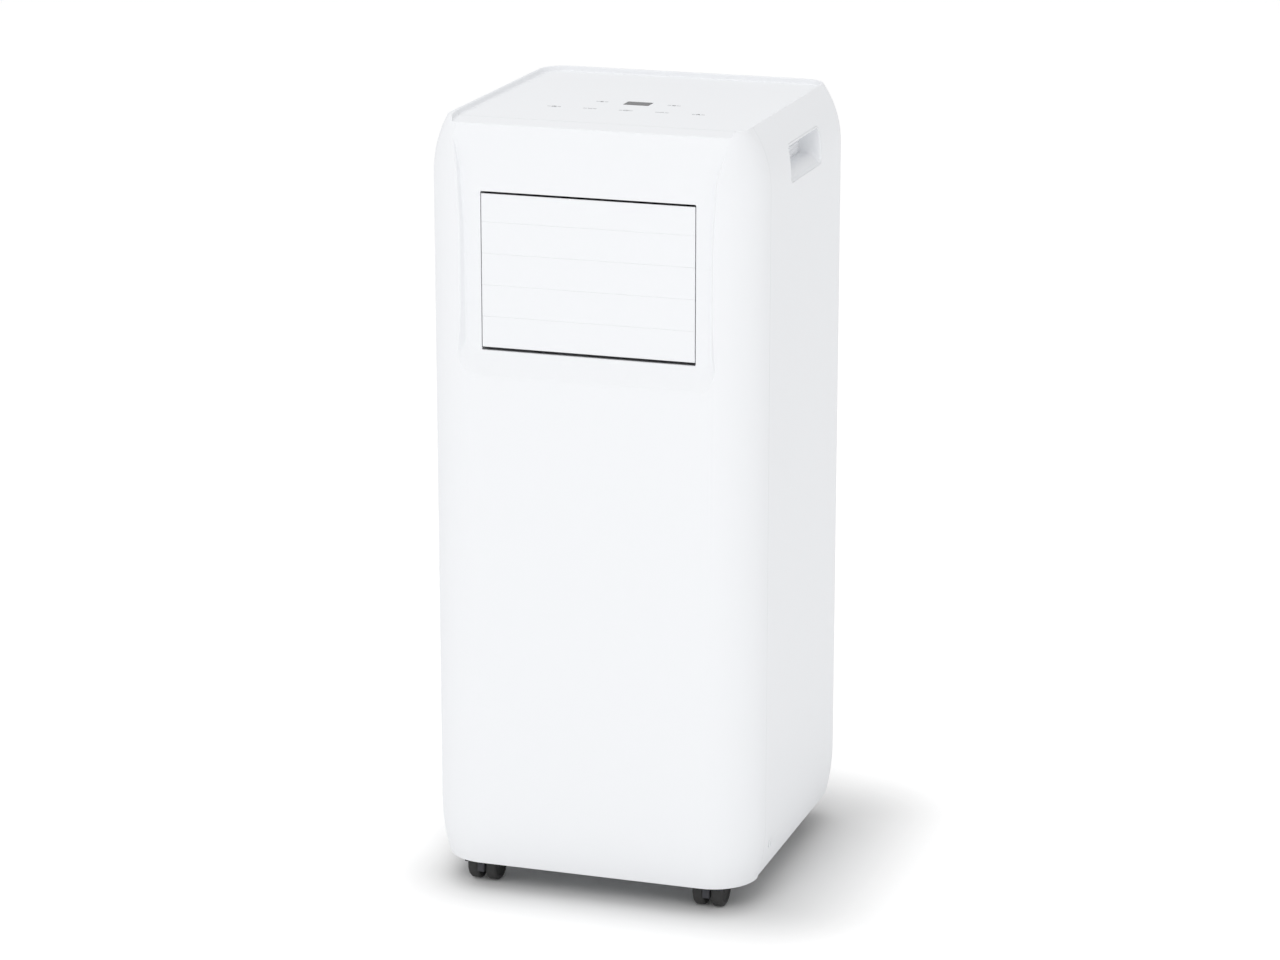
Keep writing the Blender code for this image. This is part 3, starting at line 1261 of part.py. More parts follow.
def make_cool_air_fan():
    """The drip tray, and the fan that blows the cooled air out at the front."""
    half_tray = DECK_HALF
    tray_low = (-half_tray, TRAY_FRONT_Y, TRAY_Z)
    tray_high = (half_tray, DECK_REAR_Y + TRAY_LIP, TRAY_Z + TRAY_HEIGHT)
    tray = piece("drip_tray", boxes((tray_low, tray_high)), "pale_plastic")
    wall = HOUSING_WALL
    inner_low = tuple(value + wall for value in tray_low)
    inner_high = (tray_high[0] - wall, tray_high[1] - wall, tray_high[2] + wall)
    cut(tray, boxes((inner_low, inner_high)))

    front, rear = DUCT_REAR_Y + GAP, HOUSING_REAR_Y
    z0, z1 = COOL_HOUSING_BOTTOM_Z, COOL_HOUSING_TOP_Z
    half = FAN_HOUSING_HALF + COOL_HOUSING_EXTRA
    box = boxes(((-half, front, z0), (half, rear, z1)))
    housing = piece("cool_fan_housing", box, "pale_plastic")
    inner_low, inner_high = (-half + wall, front - wall, z0 + wall), (half - wall, rear - wall, z1 - wall)
    cut(housing, boxes((inner_low, inner_high)))
    centre_z = (z0 + z1) / 2
    start, end = (0.0, rear - 3 * wall, centre_z), (0.0, rear + wall, centre_z)
    cut(housing, rod(start, end, INLET_R, segments=32))
    brace_y = rear - COOL_FAN_HEIGHT - FAN_CLEARANCE - wall - MOTOR_HEIGHT - BRACE_CLEARANCE
    brace_end = half - wall / 2
    brace_low = (-brace_end, brace_y - BRACE_THICKNESS, centre_z - BRACE_HALF_HEIGHT)
    join(housing, boxes((brace_low, (brace_end, brace_y, centre_z + BRACE_HALF_HEIGHT))))
    fan_y = rear - wall - FAN_CLEARANCE - COOL_FAN_HEIGHT
    motor_y = brace_y + GAP + MOTOR_HEIGHT
    motor("cool_fan_motor", (0.0, motor_y, centre_z), TILT_BACK, fan_y - motor_y + COOL_FAN_HEIGHT * 0.35)
    impeller("cool_fan", COOL_FAN_R, COOL_FAN_HEIGHT, (0.0, fan_y, centre_z), TILT_BACK)


def make_electrics():
    """The power box on the right and the run capacitor on the left."""
    width, depth, height = POWER_BOX
    x1 = HALF_WIDTH - WALL - ELECTRICS_CLEARANCE
    low = (x1 - width, DECK_FRONT_Y, POWER_BOX_Z)
    piece("power_box", boxes((low, (x1, DECK_FRONT_Y + depth, POWER_BOX_Z + height))), "pale_plastic")
    r, h = CAPACITOR_R, CAPACITOR_HEIGHT
    edge = MOTOR_EDGE
    profile = [(0.0, h), (r - edge, h), (r, h - edge), (r, edge), (r - edge, 0.0), (0.0, 0.0)]
    x = -(FAN_HOUSING_HALF + CAPACITOR_R + BRACE_CLEARANCE)
    turned("run_capacitor", profile, "fin_aluminium", (x, CAPACITOR_Y, POWER_BOX_Z), steps=20)


def main():
    """Build every piece, from the cabinet inwards."""
    clear_scene()
    cavity = cavity_tool()
    make_shells(cavity)
    make_handle_cups()
    make_top_cover()
    make_controls()
    make_louvre_frame()
    make_louvre_blades()
    make_louvre_link()
    make_louvre_motor()
    make_base_pan()
    make_castors()
    make_grilles()
    make_exhaust_collar()
    make_drain()
    make_cord_gland()
    make_screws()
    make_compressor()
    make_coils()
    make_pipes()
    make_exhaust_fan()
    make_cool_air_fan()
    make_electrics()


main()
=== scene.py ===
"""The looks of a portable air conditioner on castors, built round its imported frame.

Units are metres, +Z is up, the front faces -Y and the origin is on the floor under the cabinet's centre.
"""

import json
import logging
import math
from collections.abc import Iterable, Iterator, Sequence
from dataclasses import dataclass, field
from enum import Enum

import bmesh
import bpy
from mathutils import Matrix, Vector


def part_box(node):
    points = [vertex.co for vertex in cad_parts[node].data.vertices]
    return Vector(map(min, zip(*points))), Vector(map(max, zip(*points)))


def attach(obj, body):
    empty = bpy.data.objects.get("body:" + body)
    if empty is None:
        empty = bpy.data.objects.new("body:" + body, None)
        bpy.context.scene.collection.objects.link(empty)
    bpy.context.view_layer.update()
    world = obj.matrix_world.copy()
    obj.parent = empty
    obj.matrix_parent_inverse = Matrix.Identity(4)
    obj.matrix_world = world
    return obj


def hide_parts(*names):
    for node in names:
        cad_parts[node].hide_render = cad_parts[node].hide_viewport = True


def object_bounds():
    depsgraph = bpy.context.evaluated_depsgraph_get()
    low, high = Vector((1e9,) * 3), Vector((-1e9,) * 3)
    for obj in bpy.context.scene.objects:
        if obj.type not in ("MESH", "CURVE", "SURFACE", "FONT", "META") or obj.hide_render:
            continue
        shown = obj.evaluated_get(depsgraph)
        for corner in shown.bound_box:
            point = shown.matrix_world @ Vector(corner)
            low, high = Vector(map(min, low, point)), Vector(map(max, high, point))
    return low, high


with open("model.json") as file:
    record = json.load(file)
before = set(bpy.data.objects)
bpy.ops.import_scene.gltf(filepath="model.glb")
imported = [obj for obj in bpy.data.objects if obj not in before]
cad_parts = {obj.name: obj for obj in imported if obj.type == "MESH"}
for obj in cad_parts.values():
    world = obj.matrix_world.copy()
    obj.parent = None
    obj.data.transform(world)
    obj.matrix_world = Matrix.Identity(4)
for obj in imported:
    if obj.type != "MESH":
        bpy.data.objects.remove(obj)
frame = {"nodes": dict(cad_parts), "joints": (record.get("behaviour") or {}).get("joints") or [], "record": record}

log = logging.getLogger("air_conditioner")

Plan = list[tuple[float, float]]
Ring = list[tuple[float, float, float]]
Shape = bpy.types.Mesh
Piece = bpy.types.Object
QUARTER = math.pi / 2

CAD_BOX = [list(corner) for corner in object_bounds()]
GAP = 0.0003
WALL = 0.0025
ROOT_BODY = "cabinet"
BLADE_COUNT = 5
BLADE_FACE_HALF = 0.0961
LENS_HALF = (0.0115, 0.008)
SCREW_HOLE_R = 0.0017


class Facing(Enum):
    """Which way a flat outline looks once it has a thickness."""

    UP = Matrix.Identity(4).freeze()
    BACK = Matrix(((1, 0, 0, 0), (0, 0, 1, 0), (0, 1, 0, 0), (0, 0, 0, 1))).freeze()
    RIGHT = Matrix(((0, 0, 1, 0), (1, 0, 0, 0), (0, 1, 0, 0), (0, 0, 0, 1))).freeze()


class Operation(Enum):
    """What one solid does to another."""

    JOIN = "UNION"
    CUT = "DIFFERENCE"
    KEEP = "INTERSECT"


# ---------------------------------------------------------------- shapes


def span(node: str) -> tuple[Vector, Vector]:
    """The lowest and highest corner of a node of the frame."""
    low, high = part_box(node)
    return Vector(low), Vector(high)


def closed(bm: bmesh.types.BMesh) -> Shape:
    """Turns a bmesh into a mesh whose faces point out.

    Args:
        bm: The shape. It is freed.

    Returns:
        The new mesh.
    """
    bmesh.ops.recalc_face_normals(bm, faces=bm.faces[:])
    mesh = bpy.data.meshes.new("shape")
    bm.to_mesh(mesh)
    bm.free()
    return mesh


def arc(cx: float, cy: float, radius: float, start: float, steps: int, sweep: float = QUARTER) -> Plan:
    """Points along an arc.

    Args:
        cx: The centre's first coordinate.
        cy: The centre's second coordinate.
        radius: The arc's radius.
        start: The angle it starts at.
        steps: How many chords it has.
        sweep: The angle it covers.

    Returns:
        The points, both ends included.
    """
    angles = [start + sweep * k / steps for k in range(steps + 1)]
    return [(cx + radius * math.cos(a), cy + radius * math.sin(a)) for a in angles]


def rounded(x0: float, y0: float, x1: float, y1: float, radius: float, steps: int = 8) -> Plan:
    """A rectangle with round corners.

    Args:
        x0: The low first coordinate.
        y0: The low second coordinate.
        x1: The high first coordinate.
        y1: The high second coordinate.
        radius: The corners' radius.
        steps: How many chords each corner has.

    Returns:
        The outline, anticlockwise.
    """
    points = arc(x1 - radius, y0 + radius, radius, -QUARTER, steps)
    points += arc(x1 - radius, y1 - radius, radius, 0.0, steps)
    points += arc(x0 + radius, y1 - radius, radius, QUARTER, steps)
    points += arc(x0 + radius, y0 + radius, radius, 2 * QUARTER, steps)
    return points


def plate(outline: Plan, low: float, high: float, facing: Facing = Facing.UP) -> Shape:
    """A flat outline given a thickness.

    Args:
        outline: The outline's points.
        low: Where it starts along the way it faces.
        high: Where it ends.
        facing: The way it faces.

    Returns:
        A closed mesh.
    """
    bm = bmesh.new()
    floor = [bm.verts.new((x, y, low)) for x, y in outline]
    roof = [bm.verts.new((x, y, high)) for x, y in outline]
    bm.faces.new(floor)
    bm.faces.new(roof)
    for k in range(len(outline)):
        after = (k + 1) % len(outline)
        bm.faces.new((floor[k], floor[after], roof[after], roof[k]))
    bm.transform(facing.value)
    return closed(bm)


def box(low: Sequence[float], high: Sequence[float]) -> Shape:
    """A closed box between two corners."""
    outline = [(low[0], low[1]), (high[0], low[1]), (high[0], high[1]), (low[0], high[1])]
    return plate(outline, low[2], high[2])


def rod(
    start: Sequence[float],
    end: Sequence[float],
    radius: float,
    far_radius: float | None = None,
    segments: int = 48,
) -> Shape:
    """A closed cylinder or cone.

    Args:
        start: The middle of one end.
        end: The middle of the other end.
        radius: The radius at the start.
        far_radius: The radius at the end, or None for the same one.
        segments: How many sides it has.

    Returns:
        A closed mesh.
    """
    start, end = Vector(start), Vector(end)
    turn = (end - start).to_track_quat("Z", "Y").to_matrix().to_4x4()
    bm = bmesh.new()
    bmesh.ops.create_cone(
        bm,
        cap_ends=True,
        segments=segments,
        radius1=radius,
        radius2=radius if far_radius is None else far_radius,
        depth=(end - start).length,
        matrix=Matrix.Translation((start + end) / 2) @ turn,
    )
    return closed(bm)


def loft(rings: Sequence[Ring], ladder: bool = False) -> Shape:
    """A closed solid through rings of the same number of points.

    Args:
        rings: The rings, from one end to the other.
        ladder: Whether the ends are closed rung by rung, from a point to its twin on the other side.

    Returns:
        A closed mesh.
    """
    bm = bmesh.new()
    rows = [[bm.verts.new(point) for point in ring] for ring in rings]
    count = len(rows[0])
    for lower, upper in zip(rows, rows[1:]):
        for k in range(count):
            after = (k + 1) % count
            bm.faces.new((lower[k], lower[after], upper[after], upper[k]))
    for row in (rows[0], rows[-1]):
        if not ladder:
            bm.faces.new(row)
            continue
        for k in range(count // 2 - 1):
            bm.faces.new((row[k], row[k + 1], row[count - 2 - k], row[count - 1 - k]))
    return closed(bm)


def lathe(profile: Plan, axis: Matrix, steps: int, ring: bool = False) -> Shape:
    """A turned solid.

    Args:
        profile: Radii and heights, from one end of the outer side to the other.
        axis: Where its own Z axis stands.
        steps: How many sides it has.
        ring: Whether the profile closes on itself, as for a tube.

    Returns:
        A closed mesh.
    """
    bm = bmesh.new()
    rows = []
    for k in range(steps):
        angle = 2 * math.pi * k / steps
        rows.append([bm.verts.new((r * math.cos(angle), r * math.sin(angle), h)) for r, h in profile])
    last = len(profile) if ring else len(profile) - 1
    for k in range(steps):
        near, far = rows[k], rows[(k + 1) % steps]
        for j in range(last):
            after = (j + 1) % len(profile)
            bm.faces.new((near[j], near[after], far[after], far[j]))
    bmesh.ops.remove_doubles(bm, verts=bm.verts[:], dist=1e-6)
    bm.transform(axis)
    return closed(bm)


def smoothed_corners(profile: Plan, radius: float, steps: int = 3) -> Plan:
    """A profile whose inner corners are turned into small bends.

    Args:
        profile: The points.
        radius: How far from each corner the bend starts.
        steps: How many chords each bend has.

    Returns:
        The new points, with both ends where they were.
    """
    points = [Vector(point) for point in profile]
    route = [points[0]]
    for before, corner, after in zip(points, points[1:], points[2:]):
        towards, away = before - corner, after - corner
        reach = min(radius, towards.length * 0.45, away.length * 0.45)
        start = corner + towards.normalized() * reach
        end = corner + away.normalized() * reach
        for k in range(steps + 1):
            t = k / steps
            route.append(start * (1 - t) ** 2 + corner * 2 * t * (1 - t) + end * t**2)
    route.append(points[-1])
    return [(point.x, point.y) for point in route]


def as_object(mesh: Shape, name: str = "tool") -> Piece:
    """A mesh as an object of the scene.

    Args:
        mesh: The mesh.
        name: The object's name.

    Returns:
        The object, in the scene's own collection.
    """
    obj = bpy.data.objects.new(name, mesh)
    bpy.context.scene.collection.objects.link(obj)
    return obj


def worked(mesh: Shape, *jobs: tuple[Operation, Shape]) -> Shape:
    """A solid after other solids are joined to it, cut from it or kept of it.

    Args:
        mesh: The solid to work on.
        jobs: Each operation and its tool, in order.

    Returns:
        The worked mesh. Neither the solid nor the tools stay in the scene.
    """
    obj = as_object(mesh)
    tools = []
    for operation, tool_mesh in jobs:
        tool = as_object(tool_mesh)
        tools.append(tool)
        boolean = obj.modifiers.new(operation.name.lower(), "BOOLEAN")
        boolean.operation = operation.value
        boolean.solver = "EXACT"
        boolean.object = tool
    bpy.context.view_layer.update()
    graph = bpy.context.evaluated_depsgraph_get()
    made = bpy.data.meshes.new_from_object(obj.evaluated_get(graph))
    for used in (obj, *tools):
        bpy.data.objects.remove(used, do_unlink=True)
    return made


def several(meshes: Iterable[Shape]) -> Shape:
    """Separate closed shapes as one mesh.

    Args:
        meshes: The shapes.

    Returns:
        One mesh of them all.
    """
    bm = bmesh.new()
    for mesh in meshes:
        bm.from_mesh(mesh)
    return closed(bm)


# ---------------------------------------------------------------- shader groups


@dataclass(frozen=True)
class Socket:
    """One input or output of a shader group."""

    name: str
    kind: str = "NodeSocketFloat"
    value: float | None = None


class GroupMaker:
    """Builds one shader node group and joins its nodes."""

    def __init__(self, name: str, inputs: Sequence[Socket], outputs: Sequence[Socket]) -> None:
        """Makes the empty group.

        Args:
            name: The group's name.
            inputs: Its inputs.
            outputs: Its outputs.
        """
        self.tree = bpy.data.node_groups.new(name, "ShaderNodeTree")
        for socket in inputs:
            made = self.tree.interface.new_socket(socket.name, in_out="INPUT", socket_type=socket.kind)
            if socket.value is not None:
                made.default_value = socket.value
        for socket in outputs:
            self.tree.interface.new_socket(socket.name, in_out="OUTPUT", socket_type=socket.kind)
        self.start = self.tree.nodes.new("NodeGroupInput")
        self.end = self.tree.nodes.new("NodeGroupOutput")

    def node(self, kind: str, **settings: object) -> bpy.types.Node:
        """Adds a node and sets its settings."""
        return add_node(self.tree, kind, **settings)

    def link(self, source: bpy.types.NodeSocket, target: bpy.types.NodeSocket) -> None:
        """Joins two sockets."""
        self.tree.links.new(source, target)

    def given(self, name: str) -> bpy.types.NodeSocket:
        """One of the group's inputs, as its nodes read it."""
        return self.start.outputs[name]

    def give(self, name: str, source: bpy.types.NodeSocket) -> None:
        """Joins a socket to one of the group's outputs."""
        self.link(source, self.end.inputs[name])

    def noise(self, scale: bpy.types.NodeSocket, detail: float) -> bpy.types.Node:
        """Adds a noise laid out in the object's own metres.

        Args:
            scale: What sets its scale.
            detail: How many finer layers it has.

        Returns:
            The texture.
        """
        place = self.node("ShaderNodeTexCoord")
        texture = self.node("ShaderNodeTexNoise")
        texture.inputs["Detail"].default_value = detail
        self.link(place.outputs["Object"], texture.inputs["Vector"])
        self.link(scale, texture.inputs["Scale"])
        return texture

    def maths(self, operation: str, first: object, second: object = 0.5) -> bpy.types.NodeSocket:
        """Adds a Math node.

        Args:
            operation: What it does.
            first: A socket or a number.
            second: A socket or a number.

        Returns:
            The node's output.
        """
        node = self.node("ShaderNodeMath", operation=operation)
        for target, given in zip(node.inputs, (first, second)):
            if isinstance(given, bpy.types.NodeSocket):
                self.link(given, target)
            else:
                target.default_value = given
        return node.outputs[0]


def add_node(tree: bpy.types.NodeTree, kind: str, **settings: object) -> bpy.types.Node:
    """Adds a node to a tree.

    Args:
        tree: The tree.
        kind: The node's type.
        settings: Attributes to set on it.

    Returns:
        The node.
    """
    node = tree.nodes.new(kind)
    for name, value in settings.items():
        setattr(node, name, value)
    return node


def grain_group() -> bpy.types.NodeTree:
    """The fine spark-eroded grain of moulded plastic, as a height.

    Returns:
        The group, with inputs Scale and Softness and output Height.
    """
    coarse_scale, coarse_share = 0.31, 0.6
    maker = GroupMaker(
        "moulded grain", (Socket("Scale", value=2600.0), Socket("Softness", value=0.5)), (Socket("Height"),)
    )
    fine = maker.noise(maker.given("Scale"), 3.0)
    maker.link(maker.given("Softness"), fine.inputs["Roughness"])
    coarse = maker.noise(maker.maths("MULTIPLY", maker.given("Scale"), coarse_scale), 2.0)
    lumps = maker.maths("MULTIPLY", coarse.outputs["Fac"], coarse_share)
    maker.give("Height", maker.maths("ADD", fine.outputs["Fac"], lumps))
    return maker.tree


def drift_group() -> bpy.types.NodeTree:
    """A slow change over the surface, between two values.

    Returns:
        The group, with inputs Scale, Low and High and output Value.
    """
    maker = GroupMaker(
        "slow drift",
        (Socket("Scale", value=9.0), Socket("Low", value=0.3), Socket("High", value=0.5)),
        (Socket("Value"),),
    )
    cloud = maker.noise(maker.given("Scale"), 4.0)
    cloud.inputs["Roughness"].default_value = 0.55
    spread = maker.node("ShaderNodeMapRange")
    spread.inputs["From Min"].default_value = 0.32
    spread.inputs["From Max"].default_value = 0.68
    maker.link(cloud.outputs["Fac"], spread.inputs["Value"])
    maker.link(maker.given("Low"), spread.inputs["To Min"])
    maker.link(maker.given("High"), spread.inputs["To Max"])
    maker.give("Value", spread.outputs["Result"])
    return maker.tree


def tint_group() -> bpy.types.NodeTree:
    """A colour that leans towards a second one by a mask.

    Returns:
        The group, with inputs Mask, Base, Other and Amount and output Colour.
    """
    maker = GroupMaker(
        "tint",
        (
            Socket("Mask"),
            Socket("Base", "NodeSocketColor"),
            Socket("Other", "NodeSocketColor"),
            Socket("Amount", value=0.1),
        ),
        (Socket("Colour", "NodeSocketColor"),),
    )
    mix = maker.node("ShaderNodeMix", data_type="RGBA")
    factor, first, second, result = mix.inputs[0], mix.inputs[6], mix.inputs[7], mix.outputs[2]
    maker.link(maker.maths("MULTIPLY", maker.given("Mask"), maker.given("Amount")), factor)
    maker.link(maker.given("Base"), first)
    maker.link(maker.given("Other"), second)
    maker.give("Colour", result)
    return maker.tree


def dust_group() -> bpy.types.NodeTree:
    """Fine dust that settles on what faces up, as a mask.

    Returns:
        The group, with inputs Scale and Amount and output Mask.
    """
    maker = GroupMaker(
        "settled dust", (Socket("Scale", value=180.0), Socket("Amount", value=0.5)), (Socket("Mask"),)
    )
    speck = maker.noise(maker.given("Scale"), 6.0)
    geometry = maker.node("ShaderNodeNewGeometry")
    split = maker.node("ShaderNodeSeparateXYZ")
    maker.link(geometry.outputs["Normal"], split.inputs["Vector"])
    upward = maker.maths("MAXIMUM", split.outputs["Z"], 0.0)
    settled = maker.maths("MULTIPLY", upward, speck.outputs["Fac"])
    maker.give("Mask", maker.maths("MULTIPLY", settled, maker.given("Amount")))
    return maker.tree


def painted_shade_group() -> bpy.types.NodeTree:
    """Painted floor shade: a value that grows with the distance from a square round the origin, low under and
    round the cabinet as a painted shadow and higher further out as painted light.

    Returns:
        The group, with inputs Half, Reach, Near and Far and output Value.
    """
    maker = GroupMaker(
        "floor halo",
        (
            Socket("Half", value=0.12),
            Socket("Reach", value=0.16),
            Socket("Near", value=0.0),
            Socket("Far", value=1.0),
        ),
        (Socket("Value"),),
    )
    place = maker.node("ShaderNodeTexCoord")
    split = maker.node("ShaderNodeSeparateXYZ")
    maker.link(place.outputs["Object"], split.inputs["Vector"])
    squares = []
    for axis in ("X", "Y"):
        aside = maker.maths("ABSOLUTE", split.outputs[axis])
        outside = maker.maths("MAXIMUM", maker.maths("SUBTRACT", aside, maker.given("Half")), 0.0)
        squares.append(maker.maths("MULTIPLY", outside, outside))
    away = maker.maths("SQRT", maker.maths("ADD", *squares))
    spread = maker.node("ShaderNodeMapRange", interpolation_type="SMOOTHSTEP")
    maker.link(away, spread.inputs["Value"])
    maker.link(maker.given("Reach"), spread.inputs["From Max"])
    maker.link(maker.given("Near"), spread.inputs["To Min"])
    maker.link(maker.given("Far"), spread.inputs["To Max"])
    maker.give("Value", spread.outputs["Result"])
    return maker.tree


class Effects:
    """The shader groups that several finishes share, each built once."""

    def __init__(self) -> None:
        """Builds the groups."""
        self.grain = grain_group()
        self.drift = drift_group()
        self.tint = tint_group()
        self.dust = dust_group()
        self.painted_shade = painted_shade_group()


# ---------------------------------------------------------------- finishes


class Pattern(Enum):
    """What a finish shows besides its colour."""

    MOULDED = "moulded"
    POLISHED = "polished"
    WOVEN = "woven"
    FINNED = "finned"
    BRUSHED = "brushed"
    SPANGLED = "spangled"
    ORANGE_PEEL = "orange peel"
    TRACKED = "tracked"


DUST_COLOUR = (0.62, 0.61, 0.59)


@dataclass(frozen=True)
class Finish:
    """One surface finish and how it is made.

    Attributes:
        name: The material's name.
        colour: The base colour.
        other: The colour it drifts towards.
        amount: How far it drifts.
        rough: The lowest and highest roughness.
        metallic: How metallic it is.
        grain: How many grains to the metre.
        height: How high the grain stands.
        dust: How much dust lies on it.
        pattern: What else it shows.
        painted_glow: Painted light of its own for a floor, near the middle and far from it: low near the middle,
            so the floor round the cabinet shows a painted shadow, and higher further out as painted light.
    """

    name: str
    colour: tuple[float, float, float]
    other: tuple[float, float, float]
    amount: float = 0.25
    rough: tuple[float, float] = (0.36, 0.44)
    metallic: float = 0.0
    grain: float = 2600.0
    height: float = 0.00003
    dust: float = 0.0
    pattern: Pattern = Pattern.MOULDED
    painted_glow: tuple[float, float] | None = None

    def made(self, effects: Effects) -> bpy.types.Material:
        """Builds the material once.

        Args:
            effects: The shared groups.

        Returns:
            The material.
        """
        found = bpy.data.materials.get(self.name)
        if found:
            return found
        material = bpy.data.materials.new(self.name)
        material.use_nodes = True
        tree = material.node_tree
        shader = tree.nodes["Principled BSDF"]
        shader.inputs["Metallic"].default_value = self.metallic
        # Painted light and shade on the floor: an emission that is low round the cabinet, as a painted shadow, and
        # higher further out.
        if self.painted_glow:
            painted_shade = self.group(tree, effects.painted_shade, Near=self.painted_glow[0], Far=self.painted_glow[1])
            tree.links.new(painted_shade.outputs["Value"], shader.inputs["Emission Color"])
            shader.inputs["Emission Strength"].default_value = 1.0
        grain = self.group(tree, effects.grain, Scale=self.grain)
        drift = self.group(tree, effects.drift, Low=self.rough[0], High=self.rough[1])
        tree.links.new(drift.outputs["Value"], shader.inputs["Roughness"])
        clouds = self.group(tree, effects.drift, Scale=5.0, Low=0.0, High=1.0)
        mask, height = self.patterned(tree, grain, clouds)
        tree.links.new(self.tinted(tree, effects, mask), shader.inputs["Base Color"])
        bump = add_node(tree, "ShaderNodeBump")
        bump.inputs["Distance"].default_value = self.height
        bump.inputs["Strength"].default_value = 1.0
        tree.links.new(height, bump.inputs["Height"])
        tree.links.new(bump.outputs["Normal"], shader.inputs["Normal"])
        return material

    def tinted(
        self, tree: bpy.types.NodeTree, effects: Effects, mask: bpy.types.NodeSocket
    ) -> bpy.types.NodeSocket:
        """Adds the colour and the dust on it.

        Args:
            tree: The material's tree.
            effects: The shared groups.
            mask: Where the colour leans towards the second one.

        Returns:
            The colour.
        """
        tint = self.group(tree, effects.tint, Amount=self.amount)
        tint.inputs["Base"].default_value = (*self.colour, 1.0)
        tint.inputs["Other"].default_value = (*self.other, 1.0)
        tree.links.new(mask, tint.inputs["Mask"])
        if not self.dust:
            return tint.outputs["Colour"]
        dust = self.group(tree, effects.dust, Amount=self.dust)
        dusty = self.group(tree, effects.tint, Amount=1.0)
        dusty.inputs["Other"].default_value = (*DUST_COLOUR, 1.0)
        tree.links.new(dust.outputs["Mask"], dusty.inputs["Mask"])
        tree.links.new(tint.outputs["Colour"], dusty.inputs["Base"])
        return dusty.outputs["Colour"]

    @staticmethod
    def group(tree: bpy.types.NodeTree, group: bpy.types.NodeTree, **values: float) -> bpy.types.Node:
        """Places a shared group and gives its inputs their values.

        Args:
            tree: The material's tree.
            group: The group.
            values: What its inputs are set to.

        Returns:
            The group's node.
        """
        node = add_node(tree, "ShaderNodeGroup", node_tree=group)
        for name, value in values.items():
            node.inputs[name].default_value = value
        return node

    def patterned(
        self, tree: bpy.types.NodeTree, grain: bpy.types.Node, clouds: bpy.types.Node
    ) -> tuple[bpy.types.NodeSocket, bpy.types.NodeSocket]:
        """Adds what the finish shows besides its colour.

        Args:
            tree: The material's tree.
            grain: The grain group in it.
            clouds: The slow change in it.

        Returns:
            The mask between the two colours and the height for the bump.
        """
        if self.pattern in (Pattern.MOULDED, Pattern.ORANGE_PEEL):
            return clouds.outputs["Value"], grain.outputs["Height"]
        if self.pattern is Pattern.POLISHED:
            return clouds.outputs["Value"], clouds.outputs["Value"]
        place = add_node(tree, "ShaderNodeTexCoord")
        stretch = add_node(tree, "ShaderNodeMapping")
        tree.links.new(place.outputs["Object"], stretch.inputs["Vector"])
        if self.pattern is Pattern.SPANGLED:
            flakes = add_node(tree, "ShaderNodeTexVoronoi")
            flakes.inputs["Scale"].default_value = 90.0
            tree.links.new(stretch.outputs["Vector"], flakes.inputs["Vector"])
            split = add_node(tree, "ShaderNodeSeparateColor")
            tree.links.new(flakes.outputs["Color"], split.inputs["Color"])
            return split.outputs["Red"], grain.outputs["Height"]
        if self.pattern is Pattern.BRUSHED:
            stretch.inputs["Scale"].default_value = (1.0, 1.0, 0.03)
            lines = add_node(tree, "ShaderNodeTexNoise")
            lines.inputs["Scale"].default_value = 900.0
            tree.links.new(stretch.outputs["Vector"], lines.inputs["Vector"])
            return lines.outputs["Fac"], lines.outputs["Fac"]
        if self.pattern is Pattern.TRACKED:
            tracks = add_node(tree, "ShaderNodeTexBrick")
            tracks.inputs["Scale"].default_value = 60.0
            tracks.inputs["Mortar Size"].default_value = 0.06
            tree.links.new(stretch.outputs["Vector"], tracks.inputs["Vector"])
            return tracks.outputs["Fac"], tracks.outputs["Fac"]
        # Between the ridges the colour leans dark. On fins and on woven mesh this is painted shade in the gaps.
        waves = [self.wave(tree, stretch, "X")]
        if self.pattern is Pattern.WOVEN:
            waves.append(self.wave(tree, stretch, "Z"))
        crest = waves[0]
        if len(waves) > 1:
            join = add_node(tree, "ShaderNodeMath", operation="MAXIMUM")
            tree.links.new(waves[0], join.inputs[0])
            tree.links.new(waves[1], join.inputs[1])
            crest = join.outputs[0]
        return crest, crest

    def wave(self, tree: bpy.types.NodeTree, stretch: bpy.types.Node, direction: str) -> bpy.types.NodeSocket:
        """Adds one set of even ridges across the surface.

        Args:
            tree: The material's tree.
            stretch: The mapping that feeds it.
            direction: The axis it repeats along.

        Returns:
            The ridges' height.
        """
        node = add_node(tree, "ShaderNodeTexWave", wave_type="BANDS", bands_direction=direction)
        node.inputs["Scale"].default_value = self.grain
        tree.links.new(stretch.outputs["Vector"], node.inputs["Vector"])
        return node.outputs["Fac"]


WHITE_PLASTIC = Finish(
    "white_plastic", (0.86, 0.868, 0.885), (0.83, 0.838, 0.858), rough=(0.33, 0.40), dust=0.04
)
PALE_PLASTIC = Finish("pale_plastic", (0.78, 0.79, 0.80), (0.72, 0.73, 0.74), dust=0.10)
PRINT_GREY = Finish("print_grey", (0.20, 0.205, 0.22), (0.26, 0.265, 0.28), height=0.00001)
DARK_WINDOW = Finish(
    "dark_window", (0.022, 0.021, 0.024), (0.034, 0.033, 0.037), rough=(0.42, 0.5),
    height=0.00001, pattern=Pattern.POLISHED,
)
DARK_PLASTIC = Finish(
    "dark_plastic", (0.060, 0.060, 0.063), (0.085, 0.085, 0.09), rough=(0.42, 0.55), dust=0.10
)
WHEEL_PLASTIC = Finish(
    "wheel_plastic", (0.046, 0.046, 0.048), (0.07, 0.07, 0.073), rough=(0.36, 0.5), dust=0.12
)
BLACK_RUBBER = Finish("black_rubber", (0.02, 0.02, 0.02), (0.04, 0.04, 0.04), rough=(0.7, 0.85), dust=0.10)
